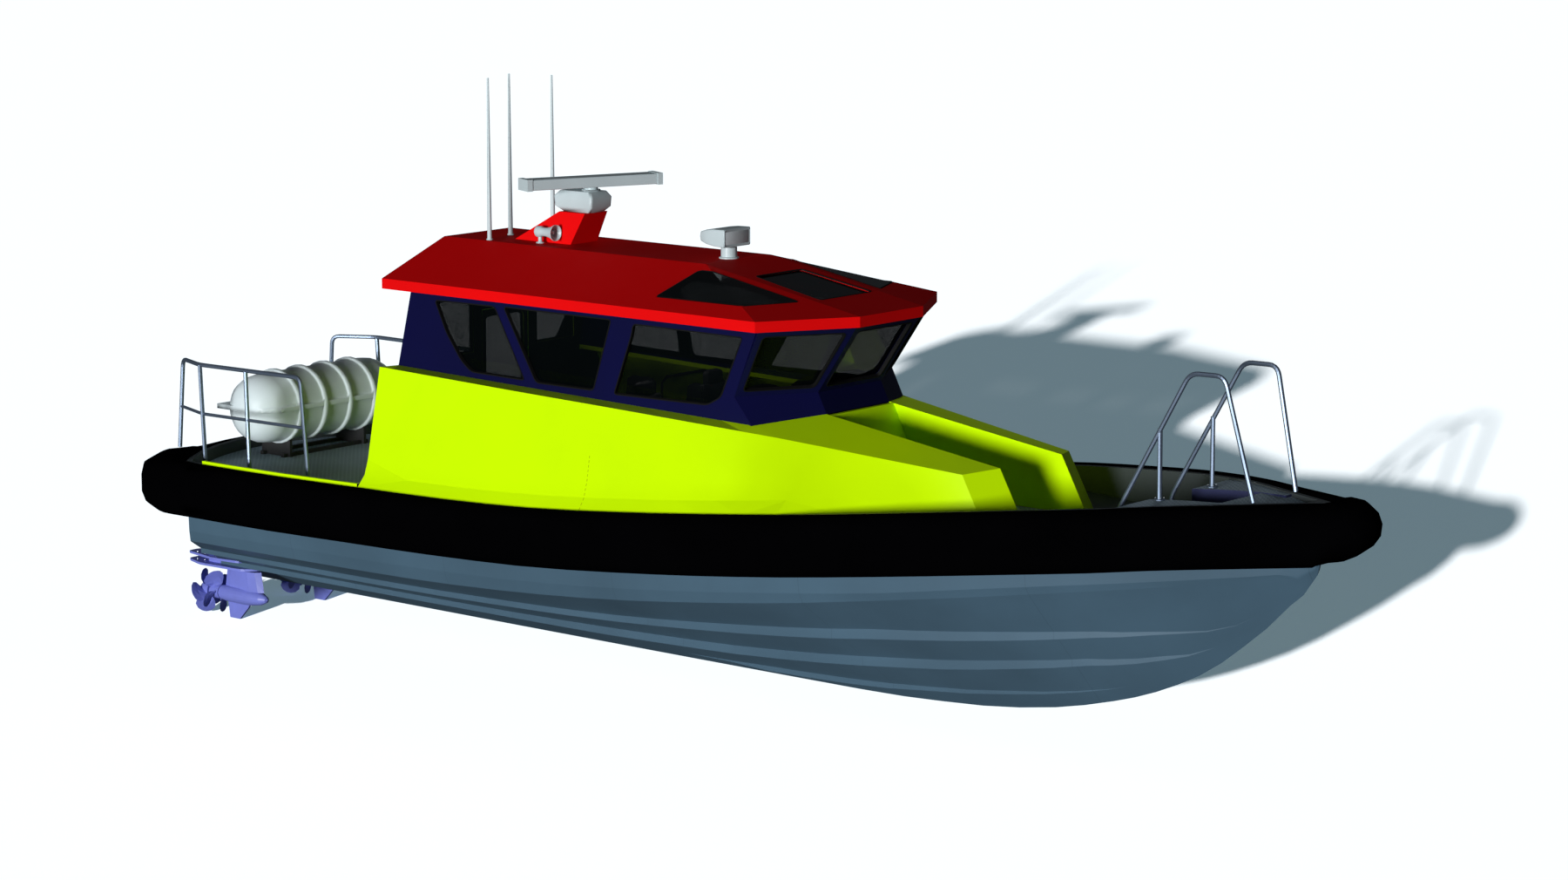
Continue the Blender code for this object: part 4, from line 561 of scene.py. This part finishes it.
bm = bmesh.new()
block(bm, DOOR_LOW, DOOR_HIGH)
for axis, places in ((1, (-GLASS_SIDE, GLASS_SIDE)), (2, (GLASS_FOOT, GLASS_HEAD))):
    for place in places:
        across = [float(k == axis) for k in range(3)]
        bmesh.ops.bisect_plane(bm, geom=bm.verts[:] + bm.edges[:] + bm.faces[:], plane_co=[place * k for k in across],
                               plane_no=across)
bm.normal_update()
middle = [f for f in bm.faces if abs(f.normal.x) > 0.9 and abs(f.calc_center_median().y) < GLASS_SIDE
          and GLASS_FOOT < f.calc_center_median().z < GLASS_HEAD]
bmesh.ops.delete(bm, geom=middle, context="FACES")
bmesh.ops.bridge_loops(bm, edges=[edge for edge in bm.edges if edge.is_boundary])
corners = [e for e in bm.edges if abs(e.verts[0].co.x - e.verts[1].co.x) > 0.01
           and abs(e.verts[0].co.y) < GLASS_SIDE + 0.01
           and GLASS_FOOT - 0.01 < e.verts[0].co.z < GLASS_HEAD + 0.01]
bmesh.ops.bevel(bm, geom=corners, offset=GLASS_CORNER, segments=5, profile=0.5, affect="EDGES", material=-1)
bmesh.ops.recalc_face_normals(bm, faces=bm.faces)
for z in HINGE_HEIGHTS:
    block(bm, (-3.611, 0.292, z - HINGE_HALF), (-3.595, 0.359, z + HINGE_HALF), 0.002)
place_piece(bm, "door_leaf", lime_paint.material, "aft_door", 30.0, ("aft_door",))


def flat_pane(name, low, high, body):
    """Makes one pane of flat glass with eased edges between two corners."""
    bm = bmesh.new()
    block(bm, low, high, 0.0015)
    return place_piece(bm, name, tinted_glass.material, body)


flat_pane("bulkhead_pane_port", (-3.585, 0.506, 2.356), (-3.579, 1.094, 2.944), "boat")
flat_pane("bulkhead_pane_starboard", (-3.585, -1.094, 2.356), (-3.579, -0.506, 2.944), "boat")
PANE_FIT = 0.006
flat_pane("door_pane", (-3.582, -GLASS_SIDE + PANE_FIT, GLASS_FOOT + PANE_FIT),
          (-3.576, GLASS_SIDE - PANE_FIT, GLASS_HEAD - PANE_FIT), "aft_door")

fittings_steel = Finish("fittings_steel", screen_colour(172, 178, 184), 0.3, size=0.2, vary=0.15, bump=0.2,
                        Metallic=0.9)
fittings_steel.done()


def rod(bm, start, end, radius, sides=14, end_radius=None):
    """Adds a round bar between two points to a bmesh."""
    start, end = Vector(start), Vector(end)
    turn = (end - start).to_track_quat("Z", "Y").to_matrix().to_4x4()
    place = Matrix.Translation((start + end) / 2) @ turn
    far_radius = radius if end_radius is None else end_radius
    bmesh.ops.create_cone(bm, cap_ends=True, segments=sides, radius1=radius, radius2=far_radius,
                          depth=(end - start).length, matrix=place)


LEVER_Y, LEVER_Z = -0.300, 1.86
DOOR_MIDDLE_X, DOOR_HALF = -3.577, 0.0195
bm = bmesh.new()
for way in (-1, 1):
    face_x = DOOR_MIDDLE_X + way * DOOR_HALF
    rod(bm, (face_x, LEVER_Y, LEVER_Z), (face_x + way * 0.006, LEVER_Y, LEVER_Z), 0.030, 24)
    rod(bm, (face_x, LEVER_Y, LEVER_Z), (face_x + way * 0.045, LEVER_Y, LEVER_Z), 0.010)
    rod(bm, (face_x + way * 0.040, LEVER_Y - 0.008, LEVER_Z), (face_x + way * 0.040, -0.180, 1.85), 0.009)
for z in HINGE_HEIGHTS:
    rod(bm, (*HINGE_PIN, z - HINGE_HALF), (*HINGE_PIN, z + HINGE_HALF), 0.009)
block(bm, (-3.5985, -0.320, DOOR_LOW[2] + 0.03), (-3.5955, 0.320, DOOR_LOW[2] + 0.23), 0.001)
place_piece(bm, "door_lever", fittings_steel.material, "aft_door")

# Hexagon bolts hold the foot plates of the rails and the two plates over each drive.
# The same bolts serve on the searchlight and the helm seats.
def bolt(bm, centre, size, outward=(0, 0, 1)):
    """Adds one hexagon bolt head with its washer."""
    centre, outward = Vector(centre), Vector(outward).normalized()
    rod(bm, centre, centre + outward * size * 0.18, size * 0.95, 16)
    rod(bm, centre, centre + outward * size * 0.75, size * 0.58, 6)


def bolt_circle(bm, centre, radius, turns, size):
    """Adds a ring of upright bolts round a centre."""
    for turn in turns:
        a = math.radians(turn)
        bolt(bm, (centre[0] + radius * math.cos(a), centre[1] + radius * math.sin(a), centre[2]), size)


FOOT_PLATES = ((4.915, 0.444, 1.3266), (5.404, 0.444, 1.8005), (-6.89, 1.394, 0.8546), (-6.2, 1.367, 0.8546),
               (-5.29, 1.34, 0.8546))
bm = bmesh.new()
for hand in (1, -1):
    for x, y, z in FOOT_PLATES:
        bolt_circle(bm, (x, hand * y, z), 0.041, (45, 135, 225, 315), 0.009)
place_piece(bm, "rail_foot_bolts", fittings_steel.material)
DRIVE_Y, SHAFT_Z = 0.67, -0.795
UPPER_PLATE_Z, LOWER_PLATE_Z = -0.354, -0.436
bm = bmesh.new()
for hand in (1, -1):
    for x in (-7.78, -7.66):
        for dy in (-0.075, 0.075):
            bolt(bm, (x, hand * DRIVE_Y + dy, UPPER_PLATE_Z), 0.014)
            bolt(bm, (x, hand * DRIVE_Y + dy, LOWER_PLATE_Z), 0.012)
place_piece(bm, "drive_plate_bolts", fittings_steel.material)

# Each rear propeller ends in a painted cone nut.
for hand, side in ((1, "port"), (-1, "starboard")):
    bm = bmesh.new()
    rod(bm, (-7.765, hand * DRIVE_Y, SHAFT_Z), (-7.800, hand * DRIVE_Y, SHAFT_Z), 0.060, 24, 0.022)
    place_piece(bm, f"propeller_nut_{side}", drive_paint.material, f"propeller_rear_{side}")

# The searchlight has a ribbed glass face in a grey frame, at the front of its head, and four screws hold the frame.
LAMP_FACE_X, LAMP_MIDDLE_Z = -0.233, 3.810
bm = bmesh.new()
block(bm, (LAMP_FACE_X - 0.001, -0.205, LAMP_MIDDLE_Z - 0.086), (LAMP_FACE_X + 0.007, 0.205, LAMP_MIDDLE_Z + 0.086))
side_edges = [e for e in bm.edges if abs(e.verts[0].co.x - e.verts[1].co.x) > 0.004]
bmesh.ops.bevel(bm, geom=side_edges, offset=0.022, segments=4, profile=0.5, affect="EDGES", material=-1)
front = [f for f in bm.faces if f.normal.x > 0.9]
bmesh.ops.inset_region(bm, faces=front, thickness=0.016)
front = [f for f in bm.faces if f.normal.x > 0.9 and f.calc_area() > 0.02]
bmesh.ops.translate(bm, verts=list({v for f in front for v in f.verts}), vec=(-0.005, 0, 0))
place_piece(bm, "searchlight_frame", grey_moulding.material, "searchlight_head")
lens_glass = Finish("lens_glass", screen_colour(205, 214, 218), 0.15, size=0.1, vary=0.1, bump=0.0, Coat_Weight=0.3)
LENS_RIB = 0.006
ribs = maths(lens_glass.tree, "PINGPONG", lens_glass.axes()[1], LENS_RIB)
lens_glass.height = maths(lens_glass.tree, "MULTIPLY", ribs, 120.0)
lens_glass.done()
bm = bmesh.new()
block(bm, (LAMP_FACE_X + 0.001, -0.186, LAMP_MIDDLE_Z - 0.067),
      (LAMP_FACE_X + 0.0035, 0.186, LAMP_MIDDLE_Z + 0.067), 0.001)
place_piece(bm, "searchlight_lens", lens_glass.material, "searchlight_head")
bm = bmesh.new()
for y in (-0.195, 0.195):
    for z in (-0.076, 0.076):
        bolt(bm, (LAMP_FACE_X + 0.0068, y, LAMP_MIDDLE_Z + z), 0.006, (1, 0, 0))
place_piece(bm, "searchlight_screws", fittings_steel.material, "searchlight_head")

# Two helm seats stand on round pedestals. Each has a crowned leather seat cushion with two sewn channels, a back
# cushion, an arched headrest and two padded arms. The cushions are swollen and pulled in.
seat_leather = Finish("seat_leather", screen_colour(58, 60, 66), 0.5, size=0.2, vary=0.15, bump=0.2)
HIDE_SCALE = 420.0
hide = add_node(seat_leather.tree, "ShaderNodeTexVoronoi", {"Vector": seat_leather.object, "Scale": HIDE_SCALE})
grain = maths(seat_leather.tree, "MULTIPLY", hide.outputs[0], 0.5)
seat_leather.height = maths(seat_leather.tree, "ADD", seat_leather.height, grain)
seat_leather.strength, seat_leather.depth = 0.3, 0.001
seat_leather.done()


CUSHION_CUTS = 17
SIDE_PULL, CHANNEL_DEPTH, CHANNEL_WIDTH = 0.05, 0.012, 0.055


def cushion(name, size, crown, channels, place, arch=0.0):
    """Makes a crowned cushion with rounded edges, pulled-in sides, sewn channels and an arched end if asked."""
    bm = bmesh.new()
    bmesh.ops.create_cube(bm, size=2.0)
    bmesh.ops.subdivide_edges(bm, edges=bm.edges[:], cuts=CUSHION_CUTS, use_grid_fill=True)
    half = Vector(size) / 2
    edge = min(half) * 0.72
    for vert in bm.verts:
        u, v, w = vert.co
        point = Vector((u * half.x, v * half.y, w * half.z))
        core = Vector([max(-h + edge, min(h - edge, c)) for c, h in zip(point, half)])
        away = point - core
        if away.length > 1e-6:
            point = core + away.normalized() * edge
        point.x *= 1 - SIDE_PULL * (1 - v * v) * abs(u) ** 3
        point.y *= 1 - SIDE_PULL * (1 - u * u) * abs(v) ** 3
        if w > 0:
            swell = (1 - u * u) * (1 - v * v)
            point.z += w * crown * (swell - 0.55)
            point.z -= w * sum(CHANNEL_DEPTH * math.exp(-((u - c) / CHANNEL_WIDTH) ** 2) for c in channels)
        if arch and u < 0:
            point.y *= 1 - arch * u ** 4
        vert.co = place @ point
    bmesh.ops.recalc_face_normals(bm, faces=bm.faces)
    piece = place_piece(bm, name, seat_leather.material, "boat", 80.0)
    rounding = piece.modifiers.new("rounding", "SUBSURF")
    rounding.levels = rounding.render_levels = 1
    return piece


def turned_to(centre, tilt=0.0, heading=0.0):
    """Places a cushion at a point, tipped back about its cross axis and turned on the spot."""
    return (Matrix.Translation(centre) @ Matrix.Rotation(math.radians(heading), 4, "Z")
            @ Matrix.Rotation(math.radians(tilt), 4, "Y"))


CABIN_SOLE_Z = 0.7504
HELM_X, HELM_Y, ARM_Y = -0.75, 0.55, 0.262
for hand, side in ((1, "port"), (-1, "starboard")):
    x, y = HELM_X, hand * HELM_Y
    bm = bmesh.new()
    rod(bm, (x, y, CABIN_SOLE_Z), (x, y, 0.780), 0.168, 32)
    rod(bm, (x, y, 0.780), (x, y, 0.800), 0.120, 32, 0.062)
    rod(bm, (x, y, 0.790), (x, y, 1.345), 0.052, 24)
    rod(bm, (x, y, 1.10), (x, y, 1.13), 0.060, 24)
    block(bm, (x - 0.20, y - 0.20, 1.345), (x + 0.20, y + 0.20, 1.369))
    bolt_circle(bm, (x, y, 0.780), 0.145, range(0, 360, 60), 0.011)
    for dy in (-0.255, 0.255):
        rod(bm, (x - 0.235, y + dy * 0.90, 1.640), (x - 0.235, y + dy, 1.640), 0.022, 20)
        rod(bm, (x - 0.235, y + dy, 1.640), (x + 0.075, y + dy, 1.625), 0.014, 16)
    place_piece(bm, f"helm_pedestal_{side}", black_coat.material, stands_for=(f"helm_seat_{side}",))
    cushion(f"helm_cushion_{side}", (0.47, 0.47, 0.125), 0.030, (-0.35, 0.35), turned_to((x, y, 1.432)))
    cushion(f"helm_back_{side}", (0.68, 0.44, 0.105), 0.026, (-0.45, 0.0, 0.45), turned_to((x - 0.225, y, 1.815), 84))
    cushion(f"helm_headrest_{side}", (0.17, 0.29, 0.085), 0.018, (), turned_to((x - 0.285, y, 2.205), 84), arch=0.45)
    for number, dy in enumerate((-ARM_Y, ARM_Y)):
        cushion(f"helm_arm_{side}_{number + 1}", (0.30, 0.062, 0.050), 0.008, (),
                turned_to((x - 0.075, y + dy, 1.655), 2))

# A bench along each wall seats two. It has a black coated plinth with a toe recess, leather seat and back cushions
# with sewn channels, an arched headrest for each place and black grab bars that rise forward to the window sill.
BENCH_RAKE = 84.6
for hand, side in ((1, "port"), (-1, "starboard")):
    bm = bmesh.new()
    near, far = sorted((hand * 0.800, hand * 1.290))
    toe_near, toe_far = sorted((hand * 0.840, hand * 1.290))
    block(bm, (-3.345, near, 0.860), (-1.555, far, 1.105), 0.008)
    block(bm, (-3.330, toe_near, CABIN_SOLE_Z), (-1.570, toe_far, 0.858), 0.003)
    for x in (-2.44, -1.60):
        points = [(x - 0.03, 1.330, 1.250), (x - 0.03, 1.355, 1.900), (x + 0.04, 1.350, 1.975),
                  (x + 0.80, 1.262, 2.150)]
        for start, end in zip(points, points[1:]):
            rod(bm, (start[0], hand * start[1], start[2]), (end[0], hand * end[1], end[2]), 0.014, 16)
    place_piece(bm, f"bench_plinth_{side}", black_coat.material, stands_for=(f"bench_{side}",))
    for number, x in enumerate((-2.892, -2.008)):
        cushion(f"bench_cushion_{side}_{number + 1}", (0.872, 0.500, 0.130), 0.026, (-0.33, 0.33),
                turned_to((x, hand * 1.020, 1.176)))
        cushion(f"bench_back_{side}_{number + 1}", (0.470, 0.840, 0.095), 0.024, (-0.30, 0.35),
                turned_to((x, hand * 1.276, 1.478), BENCH_RAKE, -90 * hand))
        cushion(f"bench_headrest_{side}_{number + 1}", (0.240, 0.420, 0.085), 0.018, (),
                turned_to((x + 0.15, hand * 1.312, 1.835), BENCH_RAKE, -90 * hand), arch=0.45)

# The helm console is a coated moulding. A hooded panel of three dark displays faces the crew above a sloping shelf
# with the steering wheel, two throttle levers, a row of switches and a grab bar.
display_glass = Finish("display_glass", screen_colour(10, 16, 22), 0.12, size=0.1, vary=0.3, bump=0.0)
tree = display_glass.tree
d_axes = display_glass.axes()
d_lines = [display_glass.group("plate_line", {"Place": d_axes[k], "Pitch": 0.05, "Width": 0.0012}).outputs[0]
           for k in (1, 2)]
grid = maths(tree, "MULTIPLY", maths(tree, "ADD", *d_lines, clamp=True), 0.5)
display_glass.colour = between(tree, grid, display_glass.colour, screen_colour(52, 96, 104))
display_glass.strength = 0.0
display_glass.done()
PANEL_FOOT, PANEL_HEAD = Vector((0.34, 0, 1.92)), Vector((0.52, 0, 2.24))
panel_out = Vector((PANEL_FOOT.z - PANEL_HEAD.z, 0, PANEL_HEAD.x - PANEL_FOOT.x)).normalized()
panel_turn = Matrix((panel_out, (0, 1, 0), panel_out.cross(Vector((0, 1, 0))))).transposed().to_4x4()
panel_middle = Matrix.Translation((PANEL_FOOT + PANEL_HEAD) / 2) @ panel_turn
bezels, screens = bmesh.new(), bmesh.new()
for y in (-0.66, -0.24, 0.24, 0.66):
    block(bezels, (0.0005, y - 0.195, -0.135), (0.016, y + 0.195, 0.135), 0.006)
    block(screens, (0.0165, y - 0.172, -0.112), (0.0185, y + 0.172, 0.112), 0.0008)
for bm, name, paint, slot in ((bezels, "display_bezels", black_coat, "black"),
                              (screens, "display_screens", display_glass, "glass")):
    bmesh.ops.transform(bm, matrix=panel_middle, verts=bm.verts)
    bmesh.ops.recalc_face_normals(bm, faces=bm.faces)
    place_piece(bm, name, paint.material)
HOOD_X, HOOD_Z, HOOD_LENGTH = 0.425, 2.236, 0.33
FRONT_OF_HOOD_X, HOOD_FRONT_Z = 0.7, 2.192
for number, y in enumerate((-0.45, 0.45)):
    bm = bmesh.new()
    bmesh.ops.create_circle(bm, cap_ends=False, segments=40, radius=1.0)
    bmesh.ops.delete(bm, geom=[v for v in bm.verts if v.co.y < -0.01], context="VERTS")
    upright = Matrix.Rotation(math.radians(90), 4, "Z") @ Matrix.Rotation(math.radians(90), 4, "X")
    hood_place = Matrix.Translation((HOOD_X, y, HOOD_Z)) @ upright @ Matrix.Diagonal((0.43, 0.150, 1, 1))
    bmesh.ops.transform(bm, matrix=hood_place, verts=bm.verts)
    pulled = bmesh.ops.extrude_edge_only(bm, edges=bm.edges[:])["geom"]
    front = [v for v in pulled if isinstance(v, bmesh.types.BMVert)]
    for vert in front:
        vert.co = (vert.co.x + HOOD_LENGTH, y + (vert.co.y - y) * 0.92, HOOD_FRONT_Z + (vert.co.z - HOOD_Z) * 0.55)
    rim = [e for e in bm.edges if e.is_boundary and min(v.co.x for v in e.verts) > FRONT_OF_HOOD_X]
    bmesh.ops.contextual_create(bm, geom=rim)
    bmesh.ops.recalc_face_normals(bm, faces=bm.faces)
    bmesh.ops.solidify(bm, geom=bm.faces[:], thickness=0.008)
    place_piece(bm, f"display_hood_{number + 1}", black_coat.material, sharp=40.0)

bm = bmesh.new()
wheel_place = Matrix.Translation((0.10, -0.55, 1.985)) @ Matrix.Rotation(math.radians(-62), 4, "Y")
section = bmesh.ops.create_circle(bm, cap_ends=False, segments=14, radius=0.014,
                                  matrix=Matrix.Translation((0.185, 0, 0)) @ Matrix.Rotation(math.radians(90), 4, "X"))
bmesh.ops.spin(bm, geom=section["verts"] + bm.edges[:], cent=(0, 0, 0), axis=(0, 0, 1), angle=math.tau, steps=48,
               use_merge=True)
bmesh.ops.recalc_face_normals(bm, faces=bm.faces)
rod(bm, (0, 0, -0.035), (0, 0, 0.012), 0.042, 28, 0.034)
for turn in (90, 210, 330):
    away = Vector((math.cos(math.radians(turn)), math.sin(math.radians(turn)), 0))
    rod(bm, away * 0.03 + Vector((0, 0, -0.008)), away * 0.183, 0.011, 12, 0.008)
bmesh.ops.transform(bm, matrix=wheel_place, verts=bm.verts)
rod(bm, wheel_place @ Vector((0, 0, -0.03)), wheel_place @ Vector((0, 0, -0.19)), 0.030, 20)
place_piece(bm, "steering_wheel", black_coat.material)

bm = bmesh.new()
SHELF_X, SHELF_Z = 0.12, 1.80
SHELF_SLOPE = (PANEL_FOOT.z - SHELF_Z) / (PANEL_FOOT.x - SHELF_X)
LEVERS_X, SWITCHES_X, SWITCH_PITCH = 0.22, 0.24, 0.055
lever_z, switch_z = [SHELF_Z + SHELF_SLOPE * (x - SHELF_X) for x in (LEVERS_X, SWITCHES_X)]
for y in (-0.225, -0.165):
    rod(bm, (LEVERS_X, y, lever_z), (0.185, y, lever_z + 0.125), 0.007)
    bmesh.ops.create_uvsphere(bm, u_segments=16, v_segments=10, radius=0.020,
                              matrix=Matrix.Translation((0.183, y, lever_z + 0.132)))
for number in range(9):
    y = 0.12 + number * SWITCH_PITCH
    rod(bm, (SWITCHES_X, y, switch_z), (0.235, y, switch_z + 0.012), 0.010, 12)
    rod(bm, (0.235, y, switch_z + 0.010), (0.228, y, switch_z + 0.032), 0.004, 10)
BAR_X, BAR_Z = 0.060, 1.79
for y in (-0.95, -0.33, 0.33, 0.95):
    rod(bm, (0.128, y, BAR_Z), (BAR_X, y, BAR_Z), 0.010)
for low_y, high_y in ((-0.99, -0.29), (0.29, 0.99)):
    rod(bm, (BAR_X, low_y, BAR_Z), (BAR_X, high_y, BAR_Z), 0.013, 16)
place_piece(bm, "console_controls", fittings_steel.material)

# Two stainless grab rails hang from the cabin roof on drop brackets, one each side of the aisle.
GRAB_RAIL_Z = 3.300
bm = bmesh.new()
for y in (-0.42, 0.42):
    rod(bm, (-3.20, y, GRAB_RAIL_Z), (-0.70, y, GRAB_RAIL_Z), 0.016, 18)
    for x in (-3.15, -2.35, -1.55, -0.75):
        rod(bm, (x, y, GRAB_RAIL_Z), (x, y, 3.532), 0.011)
        rod(bm, (x, y, 3.524), (x, y, 3.534), 0.034, 20)
place_piece(bm, "cabin_grab_rails", fittings_steel.material)
